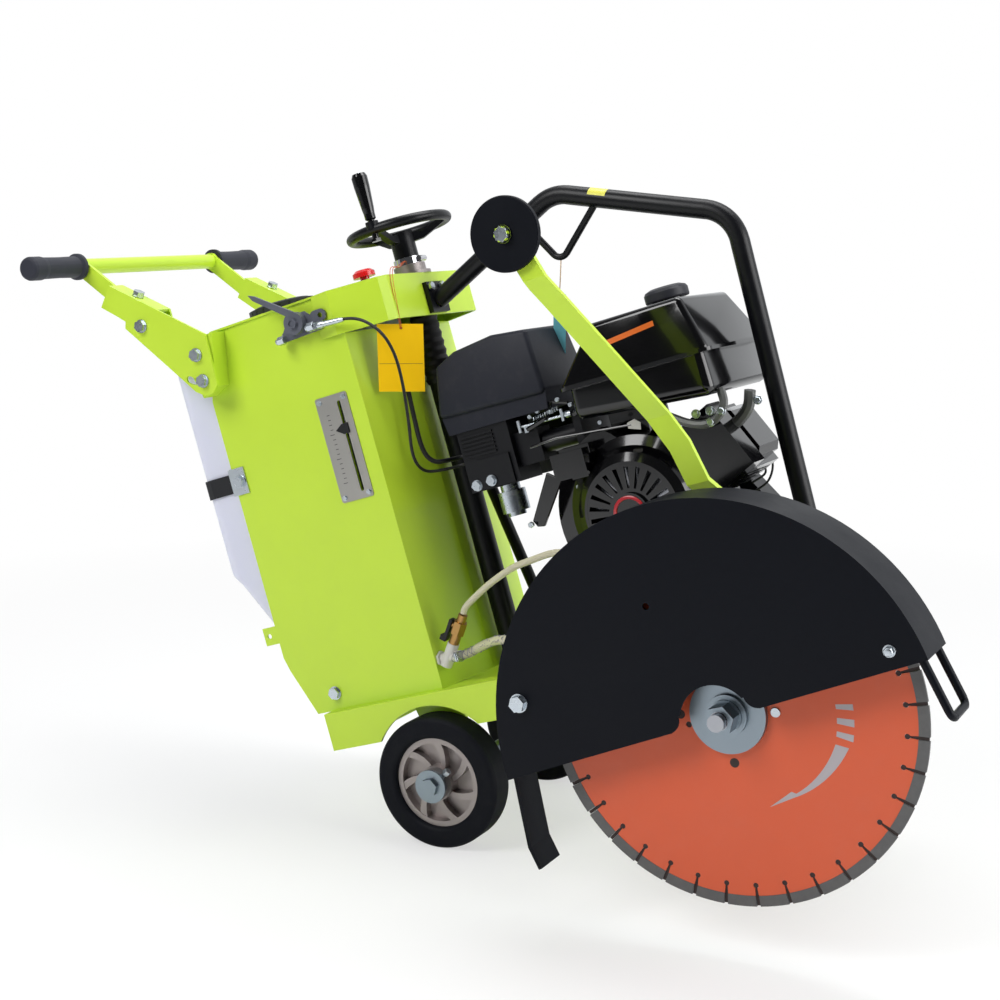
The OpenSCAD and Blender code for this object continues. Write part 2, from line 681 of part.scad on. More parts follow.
module lift_arm() color(black) chassis() {
    difference() {
        union() {
            for (s = [-1, 1]) slab(s * arm_half - arm_t / 2, s * arm_half + arm_t / 2) arm_side();
            bar(arm_x, arm_z, arm_shaft_d / 2 + 8, -arm_half - 20, arm_half + 20);
            for (y = [-24 - arm_t, 24]) slab(y, y + arm_t) lever_side();
            block([front_x - 60, -arm_half, front_z + 22], [front_x - 30, arm_half, front_z + 34]);
        }
        bar(arm_x, arm_z, arm_shaft_d / 2 + fit, -arm_half - 21, arm_half + 21);
    }
    bar(front_x, front_z, front_axle_d / 2, -front_track / 2 - front_wheel_w / 2 - 8,
        front_track / 2 + front_wheel_w / 2 + 8);
    for (s = [-1, 1]) bar(front_x, front_z, 16, s > 0 ? front_track / 2 + front_wheel_w / 2 + 3 + gap
        : -front_track / 2 - front_wheel_w / 2 - 9 - gap, s > 0 ? front_track / 2 + front_wheel_w / 2 + 9 + gap
        : -front_track / 2 - front_wheel_w / 2 - 3 - gap);
}

module arm_side() {
    u = unit([front_x - arm_x, front_z - arm_z]);
    n = [-u[1], u[0]];
    translate([arm_x, arm_z]) circle(24);
    translate([front_x, front_z]) circle(18);
    polygon([[arm_x, arm_z] + 23 * n, [front_x, front_z] + 17 * n, [front_x, front_z] - 17 * n,
        [arm_x, arm_z] - 23 * n]);
}

// Forked lever: its open slot takes the lift tube's pin
module lever_side() difference() {
    union() {
        translate([arm_x, arm_z]) circle(24);
        polygon([[arm_x, arm_z] + 22 * [sin(lever_up), cos(lever_up)],
            [lever_x, lever_z] + 30 * [-cos(lever_up), sin(lever_up)] + 18 * [sin(lever_up), cos(lever_up)],
            [lever_x, lever_z] + 30 * [-cos(lever_up), sin(lever_up)] - 18 * [sin(lever_up), cos(lever_up)],
            [arm_x, arm_z] - 22 * [sin(lever_up), cos(lever_up)]]);
    }
    translate([lever_x, lever_z]) rotate(-lever_up) translate([-8, 0]) slot(64, lever_pin_d + 3);
}

tube_top = head_z - 12;
module lift_tube() color(black) chassis() translate([screw_x, 0, 0]) {
    difference() {
        translate([0, 0, lever_z - 14]) cylinder(d = lift_tube_d, h = tube_top - lever_z + 14);
        translate([0, 0, lever_z + 20]) cylinder(d = lift_tube_d - 10, h = tube_top);
    }
    // nut inside the tube
    translate([0, 0, tube_top - 60]) difference() {
        cylinder(d = lift_tube_d - 10, h = 40);
        translate([0, 0, -1]) cylinder(d = screw_d + 2 * fit, h = 42);
    }
    // cross pin in the lever's slots
    translate([lever_x - screw_x, 0, lever_z]) rotate([90, 0, 0]) cylinder(d = lever_pin_d, h = 72, center = true);
    translate([-lift_tube_d / 2, -16, lever_z - 14]) cube([lift_tube_d, 32, 28]);
}

module screw_bellows() color(black) chassis() translate([screw_x, 0, 0]) rotate_extrude() {
    r = lift_tube_d / 2 + 0.7;
    folds = 9;
    top = head_z + sheet + 18;
    low = head_z - 102;
    h = (top - low) / folds;
    polygon(concat([[r, low], [r + 1.3, low]],
        [for (i = [0:folds - 1], k = [0:1]) [r + (k == 0 ? 3.4 : 1.3), low + (i + 0.5 + k / 2) * h]],
        [[r, top]]));
}

module screw_housing() color(cast_grey) chassis() translate([screw_x, 0, tower_rim + sheet]) difference() {
    union() {
        translate([0, 0, -sheet - 12]) cylinder(d = screw_d + 11.6, h = 14);
        cylinder(d = 62, h = 5);
        translate([0, 0, 5]) cylinder(d = 50, h = 13);
    }
    translate([0, 0, -sheet - 13]) cylinder(d = screw_d + 2 * fit, h = 40);
}

// Screw with the clamping collar above the housing
module lift_screw() color(steel) chassis() translate([screw_x, 0, 0]) {
    top = tower_rim + sheet + 18;
    translate([0, 0, top - 330]) cylinder(d = screw_d, h = 330 + 36);
    translate([0, 0, top + fit]) difference() {
        cylinder(d = 44, h = 11);
        translate([12, -2, -1]) cube([12, 4, 13]);
    }
    translate([25, -9, top + 5.5]) rotate([-90, 0, 0]) cylinder(d = 9, h = 18);
}

module handwheel() color(black) chassis() translate([screw_x, 0, wheel_low]) {
    hub_h = 40;
    rim_z = rim_up;
    difference() {
        union() {
            cylinder(r = 19, h = hub_h);
            rotate_extrude() translate([handwheel_r, rim_z]) circle(8);
            for (a = [30:120:270]) rotate(a) spoke(hub_h - 14, rim_z);
            rotate(-90) translate([handwheel_r, 0, rim_z]) cylinder(r = 10, h = 12);
        }
        translate([0, 0, -1]) cylinder(d = screw_d, h = 26);
        rotate(-90) translate([handwheel_r, 0, rim_z - 12]) cylinder(r = 5 + fit, h = 40);
    }
}

wheel_low = tower_rim + sheet + 18 + 12;
rim_up = 47;
module spoke(z0, z1) rotate([90, 0, 0]) translate([0, 0, -6]) linear_extrude(12)
    polygon([[12, z0 - 4], [34, z0 - 2], [handwheel_r - 4, z1 - 6], [handwheel_r - 4, z1 + 4], [34, z0 + 9], [12, z0 + 12]]);

module crank_knob() color(black) chassis() translate([screw_x, -handwheel_r, wheel_low + rim_up + 12.5]) {
    rotate_extrude() polygon([[0, 2], [6, 2], [8.5, 4], [8.5, 12], [9.5, 20], [12, 54], [12.3, 69], [10, 74],
        [0, 75]]);
    translate([0, 0, -30]) cylinder(r = 5, h = 33);
    translate([0, 0, -31]) cylinder(r = 8, h = 4, $fn = 6);
}

// ---------- lifting frame ----------

frame_top = tower_rim + 53;
module lifting_frame() color(black) chassis() {
    r = frame_d / 2;
    path = [[head_front + 8, head_z + 21], [345, frame_top], [606, frame_top - 110], [593, deck_top + 6]];
    difference() {
        union() {
            rotate([90, 0, 0]) bent_rod(path, r, 60);
            translate([head_front, -26, head_z + 2]) cube([8, 52, 48]);
            translate([593 - 35, -32, deck_top]) cube([70, 64, 6]);
            // lifting eye under the top run
            rotate([90, 0, 0]) bent_rod([[288, frame_top - 29], [330, frame_top - 101], [413, frame_top - 30]], 5, 14);
        }
        rotate([90, 0, 0]) bent_rod(stretch(path, 20), r - 2.5, 60);
        bracket_bolt_hole(bracket_bolt_z);
    }
    // stay from the deck to the tower's front
    translate([0, 84, 0]) rotate([90, 0, 0]) bent_rod([[111, deck_top + 4], [57, 474]], 9, 20);
    translate([96, 68, deck_top]) cube([32, 32, 6]);
}

// ---------- engine ----------

cyl_angle = 25;
module along_cylinder() translate([crank_x, 0, crank_z]) rotate([0, -cyl_angle, 0]) children();

module crankcase() color(black) chassis() {
    difference() {
        union() {
            slab(-58, 70) {
                translate([crank_x, crank_z]) circle(84);
                polygon([[crank_x - 78, engine_base + 12], [crank_x + 84, engine_base + 12],
                    [crank_x + 84, crank_z], [crank_x - 84, crank_z]]);
            }
            slab(-100, 100) polygon([[crank_x - 104, engine_base], [crank_x + 96, engine_base],
                [crank_x + 96, engine_base + 12], [crank_x - 104, engine_base + 12]]);
            slab(-50, 50) translate([crank_x - 46, crank_z + 40]) square([70, 48]);
            slab(70, 84) translate([crank_x, crank_z]) circle(66);
            for (a = [0:60:300]) translate([crank_x + 72 * cos(a), 84, crank_z + 72 * sin(a)])
                rotate([90, 0, 0]) cylinder(r = 7, h = 18);
            // oil filler
            translate([crank_x - 70, -40, engine_base + 30]) rotate([0, -50, 0]) cylinder(r = 12, h = 42);
            along_cylinder() translate([50, -44, -46]) cube([42, 92, 92]);
        }
        bar(crank_x, crank_z, crank_r + fit, -59, 90);
    }
}

module cylinder_head() color(black) chassis() along_cylinder() {
    difference() {
        union() {
            for (i = [0:3]) translate([96 + i * 11, -50, -54]) cube([6, 104, 104]);
            translate([92, -40, -42]) cube([46, 84, 80]);
            translate([138, -52, -54]) cube([12, 108, 104]);
            translate([150, -40, -44]) cube([22, 84, 84]);
        }
        for (z = [-44, 40]) translate([172, -41, z]) rotate([0, 45, 0]) translate([-7, 0, -7]) cube([14, 86, 14]);
    }
}

module recoil_housing() color(black) chassis() {
    deep = 84;
    difference() {
        union() {
            translate([crank_x, -58, crank_z]) rotate([90, 0, 0]) {
                // dished rim
                rotate_extrude() polygon([[recoil_r - 24, deep - 4], [recoil_r - 24, deep], [recoil_r - 20, deep],
                    [recoil_r - 8, deep - 8], [recoil_r, deep - 24], [recoil_r + 14, deep - 32],
                    [recoil_r + 14, 0], [recoil_r + 10, 0], [recoil_r + 10, deep - 36],
                    [recoil_r - 4, deep - 28], [recoil_r - 12, deep - 12], [recoil_r - 22, deep - 4]]);
                // back plate round the crankcase
                linear_extrude(3) difference() {
                    circle(recoil_r + 12);
                    circle(recoil_r - 22);
                }
                // slotted face
                translate([0, 0, deep - 4]) linear_extrude(3.8) difference() {
                    circle(recoil_r - 23);
                    for (i = [0:recoil_slots - 1]) rotate(i * 360 / recoil_slots) polygon([[34, -1.6],
                        [recoil_r - 28, -3.4], [recoil_r - 27, 3.4], [34, 1.6]]);
                }
                translate([0, 0, deep - 1]) cylinder(r = 28, h = 7);
            }
            // air duct over the cylinder
            along_cylinder() translate([100, -104, -54]) cube([72, 48, 104]);
            // pull handle's nose and the engine's switch box
            translate([crank_x - 78, -136, crank_z + 64]) cube([26, 20, 26]);
            block([298, -145, 386], [350, -92, 424]);
        }
        along_cylinder() translate([96, -100, -50]) cube([72, 50, 96]);
        bar(crank_x, crank_z, recoil_r - 22, -137, -59);
    }
    // pull handle
    translate([crank_x - 65, -126, crank_z + 90]) {
        cylinder(r = 7, h = 6);
        translate([-24, -8, 6]) cube([48, 16, 14]);
    }
}

module air_cleaner() color(charcoal) chassis() {
    // cover
    hull() {
        for (p = [[136, 590], [166, 603], [232, 610], [284, 604]])
            for (y = [-92, 34]) translate([p[0], y, p[1]]) sphere(8, $fn = 16);
        for (p = [[128, 526], [292, 522]], y = [-102, 44]) translate([p[0], y, p[1]]) sphere(8, $fn = 16);
    }
    // base pan
    slab(-104, 46) polygon([[122, 519], [299, 519], [296, 492], [126, 492]]);
}

module carburettor() color(charcoal) chassis() {
    // intake box under the air cleaner, ribbed
    block([136, -100, 400], [222, -30, 491.9]);
    for (i = [0:5]) block([140, -103, 452 + i * 6], [196, -100, 455 + i * 6]);
    block([158, -104, 402], [214, -100, 446]);
    block([222, -88, 420], [262, -46, 470]);
    bar(240, 446, 18, -46, 10);
    // inlet pipe to the engine
    translate([262, -67, 446]) rotate([0, 90, 0]) cylinder(r = 16, h = 60);
    block([322, -90, 414], [334, 100, 491]);
    slab(-40, 40) polygon([[322, 416], [334, 416], [crank_x - 46.1, 402], [crank_x - 48.2, 388], [322, 402]]);
}

module carb_metalwork() color(zinc) chassis() {
    // fuel bowl
    translate([188, -76, 358]) {
        cylinder(r = 21, h = 32);
        translate([0, 0, -6]) cylinder(r = 14, h = 6);
        translate([0, 0, 32]) cylinder(r = 15, h = 10);
    }
    // governor rod on a post of the inlet
    block([248, -100, 466], [254, -88, 474]);
    translate([240, -98, 476]) rotate([0, 90, 0]) cylinder(r = 2.2, h = 76);
    for (x = [240, 312]) translate([x, -103, 468]) cube([4, 3.5, 18]);
    bolt_head(148, 410, -100, -1, 8);
    bolt_head(176, 412, -104, -1, 8);
}

module fuel_tank() color(black) chassis() {
    n = [-132, 96];
    hull() {
        for (x = [352, 558], y = n) translate([x, y, 512]) cylinder(r = 10, h = 3, $fn = 24);
        for (x = [408, 538], y = [n[0] + 8, n[1] - 44]) translate([x, y, 580]) sphere(9, $fn = 20);
    }
    translate([0, 0, 507]) linear_extrude(5) translate([455, (n[0] + n[1]) / 2]) rounded(236, n[1] - n[0] + 30, 16);
    hull() {
        for (x = [362, 546], y = [n[0] + 8, n[1] - 8]) {
            translate([x, y, 506]) cylinder(r = 12, h = 1, $fn = 24);
            translate([x, y, x > 500 ? 462 : 476]) sphere(14, $fn = 20);
        }
    }
    translate([cap_x, cap_y, 586]) cylinder(r = 24, h = 8);
    // bracket on the crankcase
    for (y = [-44, 38]) block([crank_x - 40, y, crank_z + 94], [crank_x + 18, y + 6, 466]);
    block([crank_x - 40, -44, crank_z + 88], [crank_x + 18, 44, crank_z + 94]);
}

cap_x = 495;
cap_y = -45;
module fuel_cap() color(black) chassis() translate([cap_x, cap_y, 594 + fit]) rotate_extrude()
    polygon([[0, 0], [31, 0], [32, 2], [32, 12], [29.5, 16], [22, 19], [0, 20]]);

module muffler() color(charcoal) chassis() {
    difference() {
        block([150, 64, 400], [300, 152, 520]);
        for (i = [0:6]) block([160 + i * 19, 148, 420], [168 + i * 19, 153, 500]);
    }
    translate([300, 84, 450]) rotate([0, 90, 0]) cylinder(r = 14, h = 22);
    translate([150, 108, 500]) rotate([0, -60, 0]) cylinder(r = 11, h = 26);
}

// ---------- belt drive ----------

// Loop round two pulleys, drawn in X and Z
module loop_2d(grow) {
    a = [crank_x, crank_z];
    b = [arbor_x, arbor_z];
    ra = crank_pulley_r + grow;
    rb = arbor_pulley_r + grow;
    d = norm(b - a);
    u = (b - a) / d;
    n = [-u[1], u[0]];
    c = (ra - rb) / d;
    s = sqrt(1 - c * c);
    translate(a) circle(ra);
    translate(b) circle(rb);
    polygon([a + ra * (c * u + s * n), b + rb * (c * u + s * n), b + rb * (c * u - s * n), a + ra * (c * u - s * n)]);
}

module v_belts() color(black) chassis() for (i = [-1:1]) slab(belt_y + i * 12 - 3.5, belt_y + i * 12 + 3.5)
    difference() {
        loop_2d(1);
        loop_2d(-8.7);
    }

module pulley(r) rotate_extrude() polygon(concat([[8, -pulley_w / 2]],
    [for (i = [-1:1], k = [0:3]) [k == 1 || k == 2 ? r - 9 : r - 1, i * 12 + [-5.5, -4.2, 4.2, 5.5][k]]],
    [[r - 1, pulley_w / 2], [8, pulley_w / 2]]));

module belt_guard() color(black) chassis() {
    y0 = belt_y - 24;
    y1 = belt_y + 26;
    difference() {
        slab(y0, y1) loop_2d(17);
        slab(y0 - 1, y1 - 2) loop_2d(14);
    }
    difference() {
        slab(y0, y0 + 2) loop_2d(15);
        bar(crank_x, crank_z, 30, y0 - 1, y0 + 3);
        bar(arbor_x, arbor_z, 24, y0 - 1, y0 + 3);
    }
    // posts on the crankcase
    for (x = [-50, 50]) bar(crank_x + x, crank_z, 8, 84, y0);
}

module crank_drive() color(steel) chassis() {
    bar(crank_x, crank_z, crank_r, -130, belt_y + 22);
    on_y(crank_x, crank_z, belt_y) pulley(crank_pulley_r);
    // flywheel fan behind the starter's slots
    difference() {
        bar(crank_x, crank_z, recoil_r - 24, -126, -70);
        for (i = [0:13]) translate([crank_x, -127, crank_z]) rotate([0, i * 360 / 14, 0])
            translate([26, 0, -4]) cube([60, 30, 8]);
    }
}

module arbor_drive() color(steel) chassis() {
    bar(arbor_x, arbor_z, arbor_shaft_d / 2, -blade_y + 34, belt_y + 22);
    bar(arbor_x, arbor_z, arbor_d / 2, -blade_y - core_t / 2 - 15, -blade_y + 34);
    bar(arbor_x, arbor_z, thread_r, nut_face, -blade_y - core_t / 2 - 15);
    // groove outside the nut, then the arbor's free end
    bar(arbor_x, arbor_z, stub_r - 1, nut_face - groove_w, nut_face);
    bar(arbor_x, arbor_z, stub_r, nut_face - groove_w - stub_l, nut_face - groove_w);
    on_y(arbor_x, arbor_z, belt_y) pulley(arbor_pulley_r);
}

module arbor_bearings() color(black) chassis() for (y = bore_y) {
    difference() {
        union() {
            slab(y - 18, y + 18) {
                translate([arbor_x, arbor_z]) circle(36);
                translate([arbor_x - 36, arbor_z]) square([72, deck_top - deck_t - arbor_z]);
            }
            slab(y - 20, y + 20) translate([arbor_x - 64, deck_top - deck_t - 14]) square([128, 14]);
        }
        bar(arbor_x, arbor_z, arbor_shaft_d / 2 + fit, y - 21, y + 21);
    }
}

// ---------- blade ----------

module blade_core() color(blade_red) chassis() on_y(arbor_x, arbor_z, -blade_y) {
    r = blade_d / 2 - seg_h;
    translate([0, 0, -core_t / 2]) linear_extrude(core_t) difference() {
        circle(r, $fn = 90);
        circle(arbor_d / 2 + fit);
        for (i = [0:seg_n - 1]) rotate(blade_start + i * 360 / seg_n) gullet(r);
        for (a = [0, 180]) rotate(a + 5) translate([58, 0]) circle(4);
    }
}

// Keyhole with a slot that widens towards the rim
module gullet(r) {
    translate([gullet_r, 0]) circle(3.6, $fn = 24);
    polygon([[gullet_r, -1.2], [r + 1, -2.4], [r + 1, 2.4], [gullet_r, 1.2]]);
}

blade_start = 8.5 - guard_tilt;
module blade_segments() color(steel) chassis() on_y(arbor_x, arbor_z, -blade_y) {
    r = blade_d / 2 - seg_h;
    play = 2 * atan(2.4 / r);
    for (i = [0:seg_n - 1]) rotate(blade_start + play / 2 + i * 360 / seg_n)
        rotate_extrude(angle = 360 / seg_n - play) translate([r, -seg_t / 2]) square([seg_h, seg_t]);
}

module blade_flanges() color(steel) chassis() {
    half = core_t / 2;
    difference() {
        union() {
            bar(arbor_x, arbor_z, flange_d / 2, -blade_y - half - 9, -blade_y - half);
            bar(arbor_x, arbor_z, 27, -blade_y - half - 15, -blade_y - half - 9);
            bar(arbor_x, arbor_z, flange_d / 2, -blade_y + half, -blade_y + half + 9);
            bar(arbor_x, arbor_z, 30, -blade_y + half + 9, -blade_y + 34);
            hex_bar(arbor_x, arbor_z, 34, nut_face, -blade_y - half - 18);
            bar(arbor_x, arbor_z, 21, -blade_y - half - 18, -blade_y - half - 15);
        }
        bar(arbor_x, arbor_z, arbor_d / 2, -blade_y - half - 15, -blade_y + 35);
        bar(arbor_x, arbor_z, thread_r, nut_face - 1, -blade_y - half - 15);
    }
}

// ---------- blade guard ----------

// The guard's own frame: origin on the arbor, tilted against the deck
module guard_frame() translate([arbor_x, 0, arbor_z]) rotate([0, -guard_tilt, 0]) children();

module guard_round(r) intersection() {
    translate(guard_centre) circle(r, $fn = 96);
    translate([-guard_r - 40, guard_chord]) square([2 * guard_r + 80, guard_r + 40]);
}

// Hub notch with flared mouth
module hub_notch() {
    translate([-3, -1]) circle(48);
    difference() {
        translate([-64, guard_chord - 10]) square([122, 28]);
        for (x = [-67, 61]) translate([x, guard_chord + 18]) circle(18);
    }
}

module guard_shell() color(black) chassis() guard_frame() {
    difference() {
        union() {
            slab(-guard_out_y, -guard_out_y + guard_t) guard_round(guard_r);
            slab(-guard_in_y - guard_t, -guard_in_y) guard_round(guard_r);
            slab(-guard_out_y + guard_t, -guard_in_y - guard_t) difference() {
                guard_round(guard_r);
                translate(guard_centre) circle(guard_r - guard_t, $fn = 96);
            }
            // lugs that hold the front loop
            for (y = [-guard_out_y + guard_t, -guard_in_y - guard_t - 12]) slab(y, y + 12)
                translate([blade_d / 2 + 6, guard_chord]) square([17, 22]);
            // stiffening block round the rear bolt
            for (y = [-guard_out_y + guard_t, -guard_in_y - guard_t - 4]) slab(y, y + 4)
                translate(guard_hinge) circle(20);
        }
        slab(-guard_out_y - 1, -guard_in_y + 1) hub_notch();
        slab(-guard_in_y - guard_t - 1, -guard_in_y + 1) translate([-45, -10]) square([84, 50]);
        bar(guard_hinge[0], guard_hinge[1], guard_pin_d / 2 + fit, -guard_out_y - 1, -guard_in_y + 1);
        bar(-38, 162, 4.5, -guard_out_y - 1, -guard_out_y + guard_t + 1);
    }
    // front loop
    translate([blade_d / 2 + 16, -blade_y, guard_chord + 5]) rotate([0, 83, 0])
        bent_rod([[0, -loop_half], [80, -loop_half], [80, loop_half], [0, loop_half]], 5, 9);
}
loop_half = guard_w / 2 - guard_t - 6;

module mud_flap() color(black) chassis() guard_frame() slab(-guard_out_y + guard_t + 6, -guard_out_y + guard_t + 62)
    translate([guard_centre[0] - guard_r, 0]) polygon(thicken([[7.4, 34], [4, 2], [-5, -50], [-12, -92], [-8, -124]], 5));

guard_pivot = [arbor_x + guard_hinge[0] * cos(guard_tilt) - guard_hinge[1] * sin(guard_tilt),
    arbor_z + guard_hinge[0] * sin(guard_tilt) + guard_hinge[1] * cos(guard_tilt)];

// Arm from the deck to the guard's rear bolt
module guard_support() color(black) chassis() {
    x = guard_pivot[0];
    z = guard_pivot[1];
    block([x - 30, -guard_in_y + 14, z - 34], [x + 30, -deck_half, z - 6]);
    slab(-guard_in_y + 0.5, -guard_in_y + 14) {
        translate([x, z]) circle(22);
        translate([x - 30, z - 34]) square([60, 34]);
    }
    bar(x, z, guard_pin_d / 2, -guard_out_y - 0.5, -guard_in_y + 0.5);
    // water block with its two hose tails
    block([x - 7.6, -264, z - 6], [x + 22.4, -234, z + 14]);
    translate([x - 7.6, -250, z + 4]) rotate([0, -60, 0]) cylinder(r = 6, h = 13);
}

// ---------- guide arm ----------

guide_wheel_x = 429;
guide_wheel_z = 714;
guide_top_y = -blade_y + 9;     // plane of the arm's upper end, behind the wheel

// The arm's middle line seen from the side, in X and Z, and from the front, in Y and Z
guide_side = [[guide_x, guide_z], [571, 325], [556, 395], [451, 643], [guide_wheel_x, guide_wheel_z]];
guide_front = [[-guide_y, guide_z], [-guide_y, 318], [-290, 345], [-290, 438], [-338, 611], [guide_top_y, 650],
    [guide_top_y, guide_wheel_z]];

module guide_arm() color(lime) chassis() {
    difference() {
        union() {
            intersection() {
                slab(guide_top_y - guide_t, -guide_y + guide_t) polygon(strip(guide_side, guide_w));
                translate([guide_wheel_x - guide_w, 0, 0]) rotate([90, 0, 90])
                    linear_extrude(guide_x - guide_wheel_x + 2 * guide_w) polygon(strip(guide_front, guide_t));
            }
            bar(guide_x, guide_z, guide_w / 2, -guide_y - guide_t / 2, -guide_y + guide_t / 2);
            bar(guide_wheel_x, guide_wheel_z, guide_w / 2, guide_top_y - guide_t / 2, guide_top_y + guide_t / 2);
        }
        bar(guide_x, guide_z, guide_pin_d / 2 + fit, -guide_y - guide_t, -guide_y + guide_t);
    }
    // wheel's bolt
    bar(guide_wheel_x, guide_wheel_z, 6, -blade_y - 5.5, guide_top_y - guide_t / 2);
    bolt_head(guide_wheel_x, guide_wheel_z, -blade_y - 5.5, -1, 11);
}

module guide_wheel() color(black) chassis() on_y(guide_wheel_x, guide_wheel_z, -blade_y) rotate_extrude()
    translate([(guide_d / 2 + 6 + fit) / 2, 0]) rounded(guide_d / 2 - 6 - fit, 9, 2);

// ---------- controls ----------

throttle_x = -37;
throttle_z = tower_rim - 29;
throttle_y = -tower_half - 11;  // outer face of the throttle's bracket
module throttle_bracket() color(charcoal) chassis() {
    slab(throttle_y, throttle_y + 3) difference() {
        union() {
            polygon([[throttle_x - 40, throttle_z - 22], [throttle_x + 40, throttle_z - 20],
                [throttle_x + 40, throttle_z - 8], [throttle_x + 16, throttle_z + 14],
                [throttle_x - 14, throttle_z + 14]]);
            translate([throttle_x + 38, throttle_z + 1]) slot(28, 18);
        }
        translate([throttle_x + 42, throttle_z + 1]) circle(4);
    }
    for (x = [throttle_x - 30, throttle_x - 4]) bar(x, throttle_z - 13, 6, throttle_y + 3, -tower_half);
    bar(throttle_x, throttle_z, 5, throttle_y - 15, throttle_y);
}

module throttle_lever() color(charcoal) chassis() difference() {
    union() {
        bar(throttle_x, throttle_z, 17, throttle_y - 12, throttle_y - gap);
        slab(throttle_y - 12, throttle_y - 8) polygon([
            [throttle_x - 10, throttle_z + 14], [throttle_x - 60, throttle_z + 52],
            [throttle_x - 66, throttle_z + 62], [throttle_x - 56, throttle_z + 58],
            [throttle_x + 6, throttle_z + 16]]);
        hex_bar(throttle_x, throttle_z, 14, throttle_y - 17, throttle_y - 12);
    }
    bar(throttle_x, throttle_z, 5 + fit, throttle_y - 18, throttle_y);
}

// Emergency stop button beside the handwheel
button_x = 62;
button_y = -112;
button_stem = 7;
module stop_button() color([0.85, 0.1, 0.12]) chassis() translate([button_x, button_y, tower_rim + sheet + 8]) {
    cylinder(r = 17, h = 7);
    translate([0, 0, 7]) cylinder(r1 = 17, r2 = 12, h = 4);
    translate([0, 0, -7]) cylinder(r = button_stem, h = 7);
}

module button_base() translate([button_x, button_y, tower_rim + sheet]) difference() {
    cylinder(r = 15, h = 3);
    translate([0, 0, -1]) cylinder(r = button_stem + gap, h = 6);
}

// ---------- water ----------

panel_a = atan((tower_nose - tower_front) / (tower_half - 34));   // slant of the tower's front
tee_y = -146;
tee_out = 16;
tee = [tower_front + (tee_y + tower_half) * tan(panel_a) + tee_out * cos(panel_a),
    tee_y - tee_out * sin(panel_a), 174];
valve_lean = 37;
module on_tee() translate(tee) rotate([0, valve_lean, 0]) children();
module water_tee() color([0.9, 0.9, 0.92]) chassis() {
    on_tee() translate([0, 0, -14]) cylinder(r = 9, h = 38);
    translate(tee) rotate([0, 0, -panel_a]) translate([-tee_out, 0, 0]) rotate([0, 90, 0]) {
        cylinder(r = 12, h = 4, $fn = 6);
        cylinder(r = 7.5, h = tee_out + 24);
    }
}

module water_valve() color("darkgoldenrod") chassis() on_tee() {
    translate([0, 0, 24]) cylinder(r = 8, h = 16);
    translate([0, 0, 40]) cylinder(r = 11, h = 20, $fn = 6);
    translate([0, 0, 60]) cylinder(r = 7, h = 12);
    translate([-15, 0, 50]) rotate([0, 90, 0]) cylinder(r = 4, h = 8);
}

module valve_lever() color(black) chassis() on_tee() difference() {
    union() {
        translate([-16.5, -6, 26]) cube([5, 12, 32]);
        translate([-22, -6, 22]) cube([10, 12, 8]);
    }
    translate([-18, 0, 50]) rotate([0, 90, 0]) cylinder(r = 4 + fit, h = 8);
}

// Hoses run from the tee and the valve to the water block on the guard's arm
tee_end = tee + 24.8 * [cos(panel_a), -sin(panel_a), 0];
valve_end = tee + 72.8 * [sin(valve_lean), 0, cos(valve_lean)];
module spray_hose() color([0.9, 0.9, 0.85]) chassis() hose([tee_end, tee_end + 16 * [cos(panel_a), -sin(panel_a), 0],
    [112, -168, 180], [150, -198, 188], [192, -232, 193], [225, -247, 186], [256, -250, 160],
    [guard_pivot[0] - 22.6, -250, guard_pivot[1] + 13.5]], 7, 4);
module feed_hose() color([0.85, 0.82, 0.65]) chassis() hose([valve_end,
    valve_end + 12 * [sin(valve_lean), 0, cos(valve_lean)], [128, -156, 255], [166, -170, 270], [211, -182, 284],
    [246, -190, 289], [295, -194, 292], [335, -205, 276], [345, -224, 238], [322, -244, 186], [303, -248, 160],
    [guard_pivot[0] + 11.4, -248, guard_pivot[1] + 14.5]], 5.5, 4);

// Cables held along their whole route
module control_cables() color(black) chassis() {
    hose([[throttle_x + 38.2, throttle_y - 8, throttle_z - 14], [36, -178, throttle_z - 15],
        [70, -172, throttle_z - 24], [98, -170, throttle_z - 51],
        [111, -170, 628], [111, -170, 582], [103, -168, 530], [90, -160, 478], [88, -135, 452], [106, -104, 446],
        [122, -90, 446], [135.6, -90, 446]], 2.6, 5);
    hose([[70, -108, head_z - 5], [78, -104, 600], [76, -104, 540], [80, -112, 486], [92, -108, 462],
        [108, -80, 458], [120, -70, 458], [135.6, -70, 458]], 4, 5);
}

// ---------- fasteners ----------

